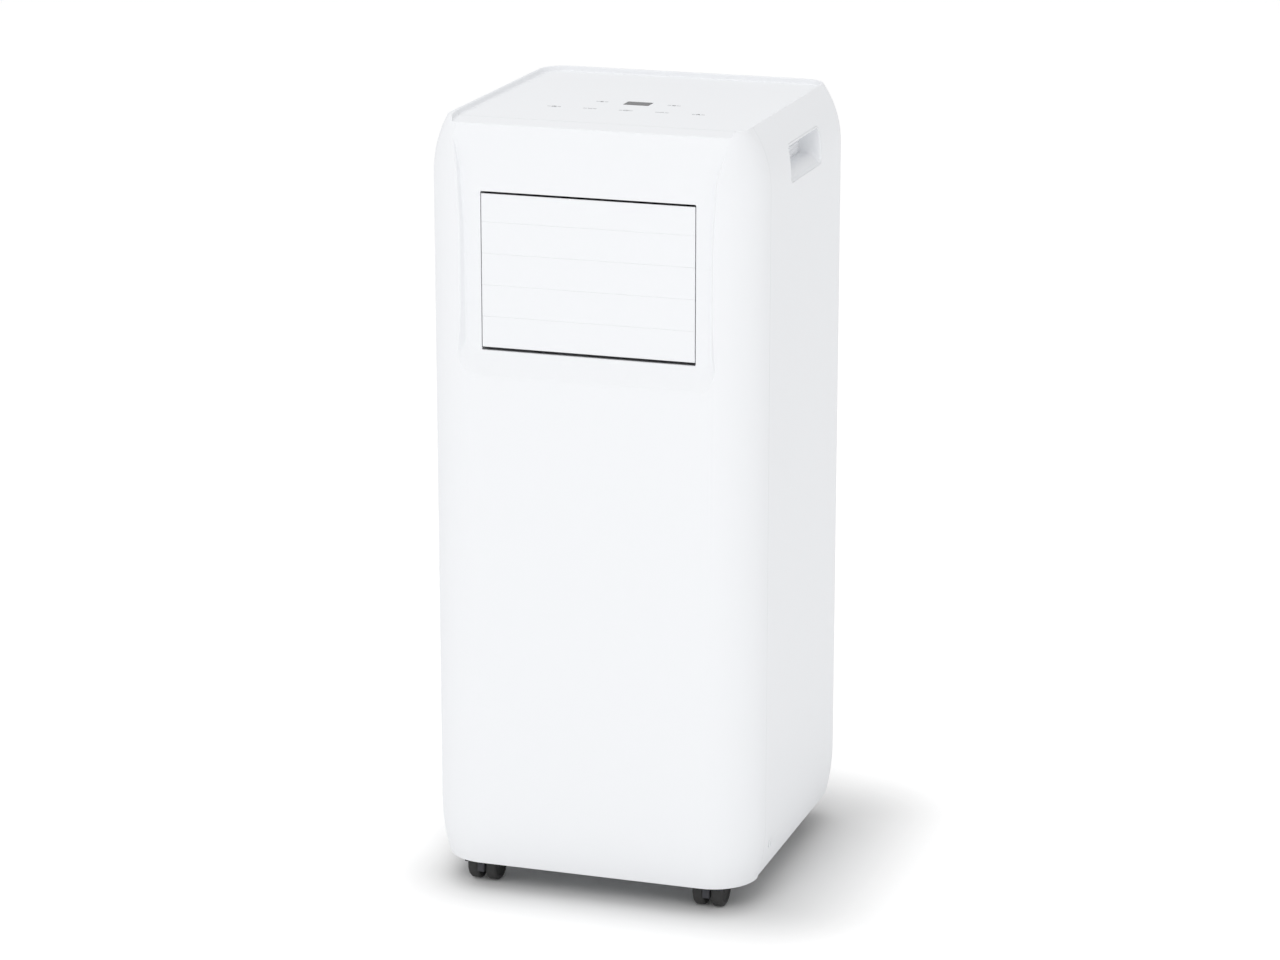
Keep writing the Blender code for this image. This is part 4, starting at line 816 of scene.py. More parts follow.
# The near-black base colour between the strands is painted shade in the mesh's holes. The strands carry the
# lighter grey.
FILTER_MESH = Finish(
    "filter_mesh", (0.035, 0.035, 0.04), (0.16, 0.16, 0.17), amount=0.9, rough=(0.7, 0.85), grain=220.0,
    height=0.0004, pattern=Pattern.WOVEN,
)
CIRCUIT_BOARD = Finish(
    "circuit_board", (0.02, 0.16, 0.07), (0.05, 0.30, 0.13), amount=0.8, height=0.00005,
    pattern=Pattern.TRACKED,
)
GALVANISED_SHEET = Finish(
    "galvanised_sheet", (0.60, 0.62, 0.64), (0.42, 0.44, 0.47), amount=0.5, metallic=0.9, rough=(0.36, 0.5),
    pattern=Pattern.SPANGLED,
)
BLACK_ENAMEL = Finish(
    "black_enamel", (0.018, 0.018, 0.02), (0.035, 0.035, 0.038), rough=(0.24, 0.34), grain=420.0,
    height=0.00008, dust=0.12, pattern=Pattern.ORANGE_PEEL,
)
COPPER = Finish(
    "copper", (0.80, 0.42, 0.27), (0.50, 0.24, 0.14), amount=0.5, metallic=1.0, rough=(0.24, 0.42),
    pattern=Pattern.BRUSHED,
)
# The darker second colour, in bands between the fins' ridges, is painted shade in the gaps between fins.
FIN_ALUMINIUM = Finish(
    "fin_aluminium", (0.76, 0.78, 0.80), (0.22, 0.23, 0.24), amount=0.8, metallic=0.9, rough=(0.32, 0.45),
    grain=95.0, height=0.0006, pattern=Pattern.FINNED,
)
ZINC_STEEL = Finish(
    "zinc_steel", (0.66, 0.67, 0.69), (0.50, 0.51, 0.53), amount=0.5, metallic=1.0, rough=(0.26, 0.36),
    pattern=Pattern.BRUSHED,
)
# The floor's glow is painted light: none near the cabinet, which leaves a painted shadow round it, and rising
# further out.
FLOOR = Finish(
    "studio_floor", (0.80, 0.80, 0.80), (0.79, 0.79, 0.79), rough=(0.75, 0.85), height=0.00001,
    painted_glow=(0.0, 0.4),
)

BY_SLOT = {
    finish.name: finish
    for finish in (
        WHITE_PLASTIC, PALE_PLASTIC, DARK_WINDOW, DARK_PLASTIC, WHEEL_PLASTIC, BLACK_RUBBER, FILTER_MESH,
        CIRCUIT_BOARD, GALVANISED_SHEET, BLACK_ENAMEL, COPPER, FIN_ALUMINIUM, ZINC_STEEL,
    )
}


@dataclass
class Bench:
    """Dresses pieces and hands them to the frame."""

    effects: Effects
    bevel_segments: int = 2
    bevel_from: float = math.radians(40)
    sharp_from: float = math.radians(34)
    bodies: dict[str, str] = field(default_factory=dict)
    slots: dict[str, str] = field(default_factory=dict)

    def __post_init__(self) -> None:
        """Reads each node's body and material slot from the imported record."""
        record = frame["record"]
        for body, nodes in record["behaviour"]["bodies"].items():
            self.bodies.update(dict.fromkeys(nodes, body))
        for part in record["subparts"]:
            self.slots[part["node"]] = part["material_slot"]

    def stand_for(self, node: str, mesh: Shape, finish: Finish | None = None, bevel: float = 0.0) -> Piece:
        """Makes the piece that is shown in place of a CAD node.

        Args:
            node: The node it stands for, which also names it.
            mesh: Its shape, in the frame's own metres.
            finish: Its finish, or None for the one of the node's slot.
            bevel: The width of the round on its edges.

        Returns:
            The finished piece.
        """
        slot = self.slots[node]
        piece = self.loose(f"{node}_shown", mesh, finish or BY_SLOT[slot], self.bodies[node], bevel)
        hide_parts(node)
        return piece

    def loose(self, name: str, mesh: Shape, finish: Finish, body: str, bevel: float = 0.0) -> Piece:
        """Makes a piece that the CAD part has no node for.

        Args:
            name: Its name.
            mesh: Its shape.
            finish: Its finish.
            body: The body it moves with.
            bevel: The width of the round on its edges.

        Returns:
            The finished piece.
        """
        piece = as_object(mesh, name)
        mesh.materials.clear()
        mesh.materials.append(finish.made(self.effects))
        if bevel:
            rounding = piece.modifiers.new("soft edges", "BEVEL")
            rounding.width = bevel
            rounding.segments = self.bevel_segments
            rounding.limit_method = "ANGLE"
            rounding.angle_limit = self.bevel_from
            rounding.use_clamp_overlap = True
        mesh.shade_smooth()
        mesh.set_sharp_from_angle(angle=self.sharp_from)
        level = piece.modifiers.new("even shading", "WEIGHTED_NORMAL")
        level.keep_sharp = True
        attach(piece, body)
        log.info("%s rides on %s with %d faces", name, body, len(mesh.polygons))
        return piece

    def dress(self, node: str) -> None:
        """Gives a CAD node that stays shown its finish.

        Args:
            node: The node.
        """
        shown = frame["nodes"][node]
        shown.data.materials.clear()
        shown.data.materials.append(BY_SLOT[self.slots[node]].made(self.effects))
        log.info("%s is dressed in %s", node, self.slots[node])


# ---------------------------------------------------------------- cabinet


@dataclass
class CabinetForm:
    """The cabinet's outer form and the recess over its top and down its front."""

    width: float
    depth: float
    height: float
    bottom: float
    front_corner: float = 0.048
    rear_corner: float = 0.028
    crest_front: float = 0.018
    crest_rear: float = 0.024
    skirt_height: float = 0.050
    skirt_inset: float = 0.007
    shoulder_height: float = 0.055
    shoulder_side: float = 0.016
    shoulder_front: float = 0.0175
    shoulder_rear: float = 0.005
    shoulder_power: float = 2.2
    rim_round: float = 0.0013
    rim_width: float = 0.0035
    top_drop: float = 0.005
    fascia_depth: float = 0.0085
    fascia_half: float = 0.1124
    roll_run: float = 0.009
    roll_drop: float = 0.039
    narrowing_y: float = -0.090
    narrowing_z: float = 0.630
    ledge_z: float = 0.496
    ledge_drop: float = 0.015
    ledge_corner: float = 0.012
    rear_bend: float = 0.020
    draft: float = 0.14
    fillet: float = 0.0016
    edge_round: float = 0.0014
    front_draft: float = 0.34
    front_fillet: float = 0.0034
    front_round: float = 0.0030
    least_corner: float = 0.004
    deepest: float = 0.03
    halvings: int = 24

    def __post_init__(self) -> None:
        """Works out the places that follow from the sizes."""
        self.half = self.width / 2
        self.front = -self.depth / 2
        self.rear = self.depth / 2
        self.shoulder_z = self.height - self.shoulder_height
        self.top = self.height - self.top_drop
        self.fascia = self.front + self.fascia_depth
        self.crease = self.fascia + self.roll_run
        self.top_half = self.half - self.shoulder_side - self.rim_width
        self.recess_rear = self.rear - self.shoulder_rear - self.rim_width

    def outline(self, inset: float, lean: float) -> tuple[float, float, float, float, float]:
        """The plan outline's sizes at one level.

        Args:
            inset: How far it is set in evenly.
            lean: Its share of the shoulder's lean.

        Returns:
            Half its width, its front, its rear and the two corner radii.
        """
        front_r = self.front_corner + (self.crest_front - self.front_corner) * lean - inset
        rear_r = self.rear_corner + (self.crest_rear - self.rear_corner) * lean - inset
        return (
            self.half - self.shoulder_side * lean - inset,
            self.front + self.shoulder_front * lean + inset,
            self.rear - self.shoulder_rear * lean - inset,
            max(front_r, self.least_corner),
            max(rear_r, self.least_corner),
        )

    def ring(self, inset: float, lean: float, z: float, steps: int) -> Ring:
        """The plan outline at one level, as points.

        Args:
            inset: How far it is set in evenly.
            lean: Its share of the shoulder's lean.
            z: The level.
            steps: How many chords each corner has.

        Returns:
            The points.
        """
        x, y0, y1, front_r, rear_r = self.outline(inset, lean)
        plan = arc(x - front_r, y0 + front_r, front_r, -QUARTER, steps)
        plan += arc(x - rear_r, y1 - rear_r, rear_r, 0.0, steps)
        plan += arc(-x + rear_r, y1 - rear_r, rear_r, QUARTER, steps)
        plan += arc(-x + front_r, y0 + front_r, front_r, 2 * QUARTER, steps)
        return [(px, py, z) for px, py in plan]

    def solid(self, inward: float = 0.0, steps: int = 18, levels: int = 20) -> Shape:
        """The outer form, or the form set in by a wall.

        Args:
            inward: How far it is set in.
            steps: How many chords each corner has.
            levels: How many rings the shoulder has.

        Returns:
            A closed mesh.
        """
        rings = []
        if inward:
            below = self.bottom - self.skirt_height / 2
            rings.append(self.ring(self.skirt_inset + inward, 0.0, below, steps))
        skirt_levels = max(3, levels // 3)
        for k in range(skirt_levels + 1):
            rise = k / skirt_levels
            inset = self.skirt_inset * (1 - rise) ** 2 + inward
            rings.append(self.ring(inset, 0.0, self.bottom + rise * self.skirt_height, steps))
        top = self.height - inward
        for k in range(levels + 1):
            rise = k / levels
            z = self.shoulder_z + rise * (top - self.rim_round - self.shoulder_z)
            rings.append(self.ring(inward, rise**self.shoulder_power, z, steps))
        for angle in (math.radians(30), math.radians(60), QUARTER):
            inset = self.rim_round * (1 - math.cos(angle)) + inward
            z = top - self.rim_round * (1 - math.sin(angle))
            rings.append(self.ring(inset, 1.0, z, steps))
        return loft(rings)

    def front_at(self, x: float, z: float) -> float:
        """Where the front surface stands.

        Args:
            x: The place across.
            z: The height.

        Returns:
            Its Y, or a place behind the cabinet where there is none.
        """
        if z > self.height:
            return self.rear
        half, y0, _, radius, _ = self.outline(0.0, min(1.0, self.shoulder_share(z)) ** self.shoulder_power)
        over = abs(x) - (half - radius)
        if over <= 0.0:
            return y0
        if over >= radius:
            return self.rear
        return y0 + radius - math.sqrt(radius * radius - over * over)

    def shoulder_share(self, z: float) -> float:
        """How far up the shoulder a height lies, from 0 at its foot to 1 at its top."""
        return max(0.0, (z - self.shoulder_z) / (self.height - self.rim_round - self.shoulder_z))

    def side_at(self, z: float) -> float:
        """Half the cabinet's width at a height.

        Args:
            z: The height.

        Returns:
            The half width.
        """
        lean = self.shoulder_share(z) ** self.shoulder_power
        drop = max(0.0, 1 - (z - self.bottom) / self.skirt_height)
        return self.half - self.shoulder_side * lean - self.skirt_inset * drop**2

    def half_width(self, y: float, z: float) -> float:
        """Half the recess's width: full between the rims, narrower down the front.

        Args:
            y: The place from front to rear.
            z: The height.

        Returns:
            The half width.
        """
        whole = (self.narrowing_y - self.crease) + (self.top - self.narrowing_z)
        travelled = max(0.0, self.narrowing_y - max(y, self.crease)) + max(0.0, self.top - z)
        t = min(1.0, travelled / whole)
        return self.top_half + (self.fascia_half - self.top_half) * t * t * (3 - 2 * t)

    def depth_at(self, place: tuple[float, float], out: tuple[float, float], x: float) -> float:
        """How deep the recess's floor lies under the outer surface.

        Args:
            place: The floor's Y and Z.
            out: The way out of the floor.
            x: The place across.

        Returns:
            The depth along the way out.
        """
        low, high = 0.0, self.deepest
        for _ in range(self.halvings):
            middle = (low + high) / 2
            y, z = place[0] + out[0] * middle, place[1] + out[1] * middle
            inside = z < self.height and y > self.front_at(x, z)
            low, high = (middle, high) if inside else (low, middle)
        return low


@dataclass(frozen=True)
class Station:
    """One section of the recess.

    Attributes:
        core: The half width up to where its bend starts.
        bend: The radius of the bend.
        turn: How far round the bend the section stands.
        place: The floor's Y and Z, or the bend's centre.
        out: The way out of the floor.
        inner: The way into the wall.
        across: The way the bend leads.
        depth: How deep the floor lies.
    """

    core: float
    bend: float
    turn: float
    place: tuple[float, float]
    out: tuple[float, float]
    inner: tuple[float, float]
    across: tuple[float, float]
    depth: float

    def ring(self, section: Plan, inward: float) -> Ring:
        """The section's points, from the floor's right end outwards and back on the left.

        Args:
            section: How far out and how far aside each point of its right side lies.
            inward: How far the floor and the sides are set into the wall.

        Returns:
            The points.
        """
        right = []
        for rise, aside in section:
            reach = self.bend + aside + inward
            x = self.core + reach * math.cos(self.turn)
            lead = reach * math.sin(self.turn)
            y = self.place[0] + self.inner[0] * inward + self.out[0] * rise + self.across[0] * lead
            z = self.place[1] + self.inner[1] * inward + self.out[1] * rise + self.across[1] * lead
            right.append((x, y, z))
        return right + [(-x, y, z) for x, y, z in reversed(right)]


@dataclass
class Recess:
    """The recess between the rims, as the solid that cuts it."""

    form: CabinetForm
    fine: int = 3
    least_depth: float = 0.0006
    bend_share: float = 0.4
    edge_turn: float = math.radians(68)
    tail: float = 0.010
    tail_rise: float = 2.5
    kept: float = 0.020

    def stations(self) -> Iterator[Station]:
        """Every section, from the rear over the top and down the front to the ledge.

        Returns:
            The sections, in order.
        """
        form = self.form
        up, down, frontward, rearward = (0.0, 1.0), (0.0, -1.0), (-1.0, 0.0), (1.0, 0.0)
        corner_steps = 4 * self.fine
        core = form.top_half - form.rear_bend
        centre = (form.recess_rear - form.rear_bend, form.top)
        for k in range(corner_steps + 1):
            turn = QUARTER * (1 - k / corner_steps)
            yield Station(core, form.rear_bend, turn, centre, up, down, rearward, form.top_drop)
        for y in (0.0, form.narrowing_y / 2):
            yield self.plain((y, form.top), up, down)
        narrowing_steps = 4 * self.fine
        for k in range(narrowing_steps + 1):
            y = form.narrowing_y + (form.crease - form.narrowing_y) * k / narrowing_steps
            yield self.plain((y, form.top), up, down)
        roll_steps = 8 * self.fine
        for k in range(1, roll_steps + 1):
            angle = QUARTER * k / roll_steps
            across, along = math.sin(angle), math.cos(angle)
            place = (form.crease - form.roll_run * across, form.top - form.roll_drop * (1 - along))
            yield self.plain(place, (-across, along), (across, -along))
        for share in (0.25, 0.5, 1.0):
            low = form.ledge_z + 3 * form.ledge_corner
            z = form.narrowing_z + (low - form.narrowing_z) * share
            yield self.plain((form.fascia, z), frontward, rearward)
        slope = Vector((-form.fascia_depth, -form.ledge_drop))
        depth = slope.length
        slope.normalize()
        core = form.fascia_half - form.ledge_corner
        centre = (form.fascia, form.ledge_z + form.ledge_corner)
        for k in range(corner_steps + 1):
            turn = QUARTER * k / corner_steps
            yield Station(core, form.ledge_corner, turn, centre, tuple(slope), rearward, down, depth)

    def plain(
        self, place: tuple[float, float], out: tuple[float, float], inner: tuple[float, float]
    ) -> Station:
        """A section with no bend, its depth read off the outer form.

        Args:
            place: The floor's Y and Z.
            out: The way out of the floor.
            inner: The way into the wall.

        Returns:
            The section.
        """
        half = self.form.half_width(*place)
        depth = max(self.least_depth, self.form.depth_at(place, out, half + self.form.edge_round))
        return Station(half, 0.0, 0.0, place, out, inner, (0.0, 0.0), depth)

    def section(self, station: Station) -> Plan:
        """The right side of one section: fillet, drafted wall, rounded edge and the way out.

        Args:
            station: The section.

        Returns:
            How far out and how far aside each point lies.
        """
        form = self.form
        front = min(1.0, max(0.0, (station.depth - form.top_drop) / (form.fascia_depth - form.top_drop)))
        widest = station.depth * self.bend_share
        fillet = min(form.fillet + (form.front_fillet - form.fillet) * front, widest)
        edge = min(form.edge_round + (form.front_round - form.edge_round) * front, widest)
        draft = form.draft + (form.front_draft - form.draft) * front
        steps = 2 * self.fine
        points = []
        for k in range(steps + 1):
            angle = QUARTER * k / steps
            points.append((fillet * (1 - math.cos(angle)), -fillet * (1 - math.sin(angle))))
        wall = station.depth - edge
        aside = draft * (wall - fillet)
        for k in range(steps + 1):
            angle = self.edge_turn * k / steps
            points.append((wall + edge * math.sin(angle), aside + edge * (1 - math.cos(angle))))
        (rise, side), tail = points[-1], self.tail
        points.append((rise + tail * math.cos(self.edge_turn), side + tail * math.sin(self.edge_turn)))
        points.append((rise + self.tail_rise * tail, side + tail))
        return points

    def cutter(self) -> Shape:
        """The solid that cuts the recess."""
        return loft([station.ring(self.section(station), 0.0) for station in self.stations()], ladder=True)

    def keeper(self, inward: float) -> Shape:
        """The solid that keeps a wall behind the recess."""
        section = [(0.0, 0.0), (self.kept, self.kept * self.form.draft)]
        return loft([station.ring(section, inward) for station in self.stations()], ladder=True)


@dataclass
class Cabinet:
    """The front shell, the rear shell and the top cover."""

    form: CabinetForm
    seam_y: float
    rear_bottom: float
    handle: "HandlePocket"
    rear_openings: Sequence[Shape]
    screw_y: float
    screw_z: float
    far: float = 1.0
    dimple_r: float = 0.0068
    dimple_floor_r: float = 0.0045
    dimple_depth: float = 0.0024
    opening_side_gap: float = 0.0009
    opening_foot_gap: float = 0.0026
    opening_head_gap: float = 0.0020
    opening_corner: float = 0.0012
    score_depth: float = 0.00014
    score_half: float = 0.0012
    score_margin: float = 0.0004
    cover_gap: float = 0.0004
    cover_corner_steps: int = 14
    lens_corner: float = 0.0014

    def build(self, bench: Bench) -> None:
        """Builds and dresses the three pieces.

        Args:
            bench: Where pieces are dressed.
        """
        inner = self.form.solid(WALL, steps=10, levels=10)
        cavity = worked(inner, (Operation.CUT, Recess(self.form, fine=2).keeper(WALL)))
        lid = plate(self.cover_outline(0.0), self.form.top - 4 * WALL, self.form.top + WALL)
        tools = (Recess(self.form).cutter(), cavity, lid)
        hollow = worked(self.form.solid(), *((Operation.CUT, tool) for tool in tools))
        bench.stand_for("front_shell", self.front_shell(hollow.copy()))
        bench.stand_for("rear_shell", self.rear_shell(hollow))
        bench.stand_for("top_cover", self.top_cover())

    def front_shell(self, hollow: Shape) -> Shape:
        """The part in front of the seam, with the louvre opening.

        Args:
            hollow: The hollow cabinet.

        Returns:
            The front shell.
        """
        half = BLADE_FACE_HALF + self.opening_side_gap
        z0 = span("louvre_blade_1")[0].z - self.opening_foot_gap
        z1 = span(f"louvre_blade_{BLADE_COUNT}")[1].z + self.opening_head_gap
        outline = rounded(-half, z0, half, z1, self.opening_corner, 4)
        opening = plate(outline, self.form.fascia - 2 * WALL, self.form.fascia + 2 * WALL, Facing.BACK)
        behind = box((-self.far, self.seam_y - GAP / 2, -self.far), (self.far, self.far, self.far))
        scores = several(self.scores(half))
        return worked(hollow, (Operation.CUT, behind), (Operation.CUT, opening), (Operation.CUT, scores))

    def scores(self, half: float) -> Iterator[Shape]:
        """The faint scored lines that carry the blades' seams on over the fascia.

        Args:
            half: Half the louvre opening's width.

        Returns:
            The tools that cut them.
        """
        face, deep, wide = self.form.fascia, self.score_depth, self.score_half
        for number in range(1, BLADE_COUNT + 1):
            z = span(f"louvre_blade_{number}")[1].z
            outline = [(face - deep, z - wide), (face - deep, z + wide), (face + deep, z)]
            for side in (-1, 1):
                near, far = sorted((side * (half - WALL), side * (self.form.fascia_half - self.score_margin)))
                yield plate(outline, near, far, Facing.RIGHT)

    def rear_shell(self, hollow: Shape) -> Shape:
        """The part behind the seam, with every opening in it.

        Args:
            hollow: The hollow cabinet.

        Returns:
            The rear shell.
        """
        far = self.far
        jobs = [
            (Operation.CUT, box((-far, -far, -far), (far, self.seam_y + GAP / 2, far))),
            (Operation.CUT, box((-far, -far, -far), (far, far, self.rear_bottom))),
        ]
        jobs += [(Operation.CUT, opening) for opening in self.rear_openings]
        for side in (-1, 1):
            jobs.append((Operation.CUT, self.handle.opening(side)))
            jobs += [(Operation.CUT, tool) for tool in self.dimple(side)]
        return worked(hollow, *jobs)

    def dimple(self, side: int) -> Iterator[Shape]:
        """The sunk seat and the hole of one side screw.

        Args:
            side: 1 for the right, -1 for the left.

        Returns:
            The tools that cut them.
        """
        surface = self.form.side_at(self.screw_z)
        seat, outside = surface - self.dimple_depth / 2, surface + self.dimple_depth / 2
        inside = surface - 3 * WALL
        spread = 2 * self.dimple_r - self.dimple_floor_r
        place = (self.screw_y, self.screw_z)
        yield rod((side * seat, *place), (side * outside, *place), self.dimple_floor_r, spread)
        yield rod((side * inside, *place), (side * outside, *place), SCREW_HOLE_R)

    def cover_outline(self, margin: float) -> Plan:
        """The top cover's outline: square at the seam, round at the rear.

        Args:
            margin: How far it is set in.

        Returns:
            The outline.
        """
        form, steps = self.form, self.cover_corner_steps
        half = form.top_half - form.fillet - self.cover_gap - margin
        y0, y1 = self.seam_y + GAP / 2 + margin, form.recess_rear - form.fillet - self.cover_gap - margin
        rear_r = form.rear_bend - form.fillet - margin
        points = [(-half, y0), (half, y0)]
        points += arc(half - rear_r, y1 - rear_r, rear_r, 0.0, steps)
        points += arc(-half + rear_r, y1 - rear_r, rear_r, QUARTER, steps)
        return points

    def top_cover(self) -> Shape:
        """The flat lid with its flange and the hole for the display's lens.

        Returns:
            The cover.
        """
        top = self.form.top
        flange = span("top_cover")[0].z
        margin = 2 * WALL
        lens_x, lens_y = (half + GAP for half in LENS_HALF)
        hole = rounded(-lens_x, -lens_y, lens_x, lens_y, self.lens_corner)
        return worked(
            plate(self.cover_outline(GAP / 2), top - WALL, top),
            (Operation.JOIN, plate(self.cover_outline(margin), flange, top - WALL / 2)),
            (Operation.CUT, plate(self.cover_outline(margin + WALL), flange - WALL, top - WALL)),
            (Operation.CUT, plate(hole, top - 2 * WALL, top + WALL)),
        )


@dataclass
class HandlePocket:
    """A finger pocket in each side."""

    form: CabinetForm
    front: float
    rear: float
    low: float
    high: float
    bottom: float
    corner: float = 0.006
    wall: float = 0.0018
    lip: float = 0.0011
    mouth_share: float = 0.25
    lip_flare: float = 0.8
    rise: float = 0.0065
    floor_depth: float = 0.020
    floor_taper: float = 0.03
    steps: int = 4
    ribs: int = 5
    rib_r: float = 0.0008
    rib_foot: float = 0.011
    rib_pitch: float = 0.0040
    rib_margin: float = 0.004

    def outline(self, margin: float, lift: float = 0.0) -> Plan:
        """The opening's outline in Y and Z.

        Args:
            margin: How far it is set in.
            lift: How far its lower edge is raised as well.

        Returns:
            The outline.
        """
        low = (self.front + margin, self.low + margin + lift)
        high = (self.rear - margin, self.high - margin)
        return rounded(*low, *high, self.corner - margin, 8)

    def opening(self, side: int) -> Shape:
        """The hole through the shell."""
        near, far = sorted((side * (self.bottom - 2 * WALL), side * (self.form.half + WALL)))
        return plate(self.outline(0.0), near, far, Facing.RIGHT)

    def hollow(self, side: int) -> Shape:
        """The room for the fingers: a rounded lip, and a floor that rises inwards.

        Args:
            side: 1 for the right, -1 for the left.

        Returns:
            The tool that hollows the cup.
        """
        depth, steps = self.floor_depth, self.steps
        surface = self.form.side_at((self.low + self.high) / 2)
        mouth = self.wall * self.mouth_share
        sections = [(self.form.half + 2 * WALL, mouth, 0.0), (surface + self.lip, mouth, 0.0)]
        for k in range(steps + 1):
            inset = self.wall - self.lip * (1 - math.sin(QUARTER * k / steps)) * self.lip_flare
            sections.append((surface - self.lip * 2 * k / steps, inset, 0.0))
        for k in range(1, steps + 1):
            share = k / steps
            x = surface - 2 * self.lip + (2 * self.lip - depth) * share
            inset = self.wall + depth * self.floor_taper * share
            sections.append((x, inset, self.rise * min(1.0, 3 * share)))
        rings = [[(side * x, y, z) for y, z in self.outline(margin, lift)] for x, margin, lift in sections]
        return loft(rings)

    def build(self, bench: Bench) -> None:
        """Builds and dresses the cup in each side.

        Args:
            bench: Where pieces are dressed.
        """
        trim = self.form.solid(GAP / 3)
        floor = self.form.side_at((self.low + self.high) / 2) - self.floor_depth
        for side, name in ((-1, "handle_cup_left"), (1, "handle_cup_right")):
            near, far = sorted((side * self.bottom, side * (self.form.half + WALL)))
            body = plate(self.outline(GAP), near, far, Facing.RIGHT)
            ribs = []
            for k in range(self.ribs):
                z = self.low + self.rib_foot + k * self.rib_pitch
                start = (side * floor, self.front + self.rib_margin, z)
                end = (side * floor, self.rear - self.rib_margin, z)
                ribs.append(rod(start, end, self.rib_r, segments=12))
            hollow, ridges = self.hollow(side), several(ribs)
            jobs = ((Operation.KEEP, trim.copy()), (Operation.CUT, hollow), (Operation.JOIN, ridges))
            bench.stand_for(name, worked(body, *jobs))


@dataclass
class Controls:
    """The display's lens and the marks of the touch pads."""

    top: float
    pad_y: float = -0.035
    display_row_y: float = 0.0
    pitch: float = 0.033
    mark_half: float = 0.0021
    mark_height: float = 0.00012
    stroke_share: float = 0.14
    tick_share: float = 0.34
    tick_pitch: float = 0.0011
    ticks_a_side: int = 3
    lens_flange: float = 0.0008
    lens_corner: float = 0.0012
    lens_bevel: float = 0.00025

    def build(self, bench: Bench) -> None:
        """Builds and dresses the lens and the marks.

        Args:
            bench: Where pieces are dressed.
        """
        half_x, half_y = LENS_HALF
        low, high = span("display_lens")
        step = low.z + self.lens_flange
        window = plate(rounded(-half_x, -half_y, half_x, half_y, self.lens_corner), step, self.top)
        flange = plate(rounded(low.x, low.y, high.x, high.y, self.lens_corner), low.z, step)
        bench.stand_for("display_lens", worked(window, (Operation.JOIN, flange)), bevel=self.lens_bevel)
        marks = {
            "mark_power": self.power((0.0, self.pad_y)),
            "mark_up": self.arrow((self.pitch, self.pad_y), 1),
            "mark_down": self.arrow((-self.pitch, self.pad_y), -1),
            "mark_fan": self.petals((2 * self.pitch, self.pad_y)),
            "mark_timer": self.dial((-2 * self.pitch, self.pad_y)),
            "mark_cool": self.star((self.pitch, self.display_row_y)),
            "mark_sleep": self.crescent((-self.pitch, self.display_row_y)),
        }
        for name, mesh in marks.items():
            left = min(vertex.co.x for vertex in mesh.vertices) - self.tick_pitch
            right = max(vertex.co.x for vertex in mesh.vertices) + self.tick_pitch
            y = sum(vertex.co.y for vertex in mesh.vertices) / len(mesh.vertices)
            printed = several([mesh, *self.ticks(left, y, -1), *self.ticks(right, y, 1)])
            piece = bench.loose(name, printed, PRINT_GREY, ROOT_BODY)

    def flat(self, outline: Plan) -> Shape:
        """One printed outline."""
        return plate(outline, self.top - GAP, self.top + self.mark_height)

    def ticks(self, x: float, y: float, way: int) -> Iterator[Shape]:
        """Short strokes beside a mark, leading away from it.

        Args:
            x: Where the first one stands.
            y: The middle of each.
            way: 1 to lead to the right, -1 to the left.

        Returns:
            The strokes.
        """
        half_height = self.mark_half * self.tick_share
        for k in range(self.ticks_a_side):
            at = x + way * k * self.tick_pitch
            yield self.stroke(Vector((at, y - half_height)), Vector((at, y + half_height)))

    def stroke(self, start: Vector, end: Vector) -> Shape:
        """One printed line.

        Args:
            start: Its one end.
            end: Its other end.

        Returns:
            The line.
        """
        aside = (end - start).orthogonal().normalized() * self.mark_half * self.stroke_share
        corners = (start + aside, end + aside, end - aside, start - aside)
        return self.flat([(point.x, point.y) for point in corners])

    def loop(self, at: tuple[float, float], radius: float, start: float, sweep: float) -> Iterator[Shape]:
        """The strokes of part of a circle.

        Args:
            at: The centre.
            radius: The radius.
            start: The angle it starts at.
            sweep: The angle it covers.

        Returns:
            The strokes.
        """
        points = [Vector(point) for point in arc(*at, radius, start, 14, sweep)]
        for first, second in zip(points, points[1:]):
            yield self.stroke(first, second + (second - first) * 0.1)

    def power(self, at: tuple[float, float]) -> Shape:
        """A broken circle with a stroke.

        Args:
            at: The mark's middle.

        Returns:
            The mark.
        """
        centre, r = Vector(at), self.mark_half
        strokes = list(self.loop(at, r, math.radians(120), math.radians(300)))
        strokes.append(self.stroke(centre + Vector((0.0, r * 0.2)), centre + Vector((0.0, r * 1.2))))
        return several(strokes)

    def arrow(self, at: tuple[float, float], way: int) -> Shape:
        """A chevron.

        Args:
            at: The mark's middle.
            way: 1 to point up, -1 to point down.

        Returns:
            The mark.
        """
        centre, r = Vector(at), self.mark_half
        tip = centre + Vector((0.0, way * r * 0.6))
        ends = [centre + Vector((side * r, -way * r * 0.5)) for side in (-1, 1)]
        return several([self.stroke(end, tip) for end in ends])

    def petals(self, at: tuple[float, float]) -> Shape:
        """Three round petals.

        Args:
            at: The mark's middle.

        Returns:
            The mark.
        """
        shapes = []
        for k in range(3):
            angle, reach = QUARTER + k * math.radians(120), self.mark_half * 0.6
            x, y = at[0] + reach * math.cos(angle), at[1] + reach * math.sin(angle)
            shapes.append(self.flat(arc(x, y, self.mark_half * 0.45, 0.0, 16, 4 * QUARTER)[:-1]))
        return several(shapes)

    def dial(self, at: tuple[float, float]) -> Shape:
        """A circle with two hands.

        Args:
            at: The mark's middle.

        Returns:
            The mark.
        """
        centre, r = Vector(at), self.mark_half
        strokes = list(self.loop(at, r, 0.0, 4 * QUARTER))
        strokes.append(self.stroke(centre, centre + Vector((0.0, r * 0.7))))
        strokes.append(self.stroke(centre, centre + Vector((r * 0.5, 0.0))))
        return several(strokes)

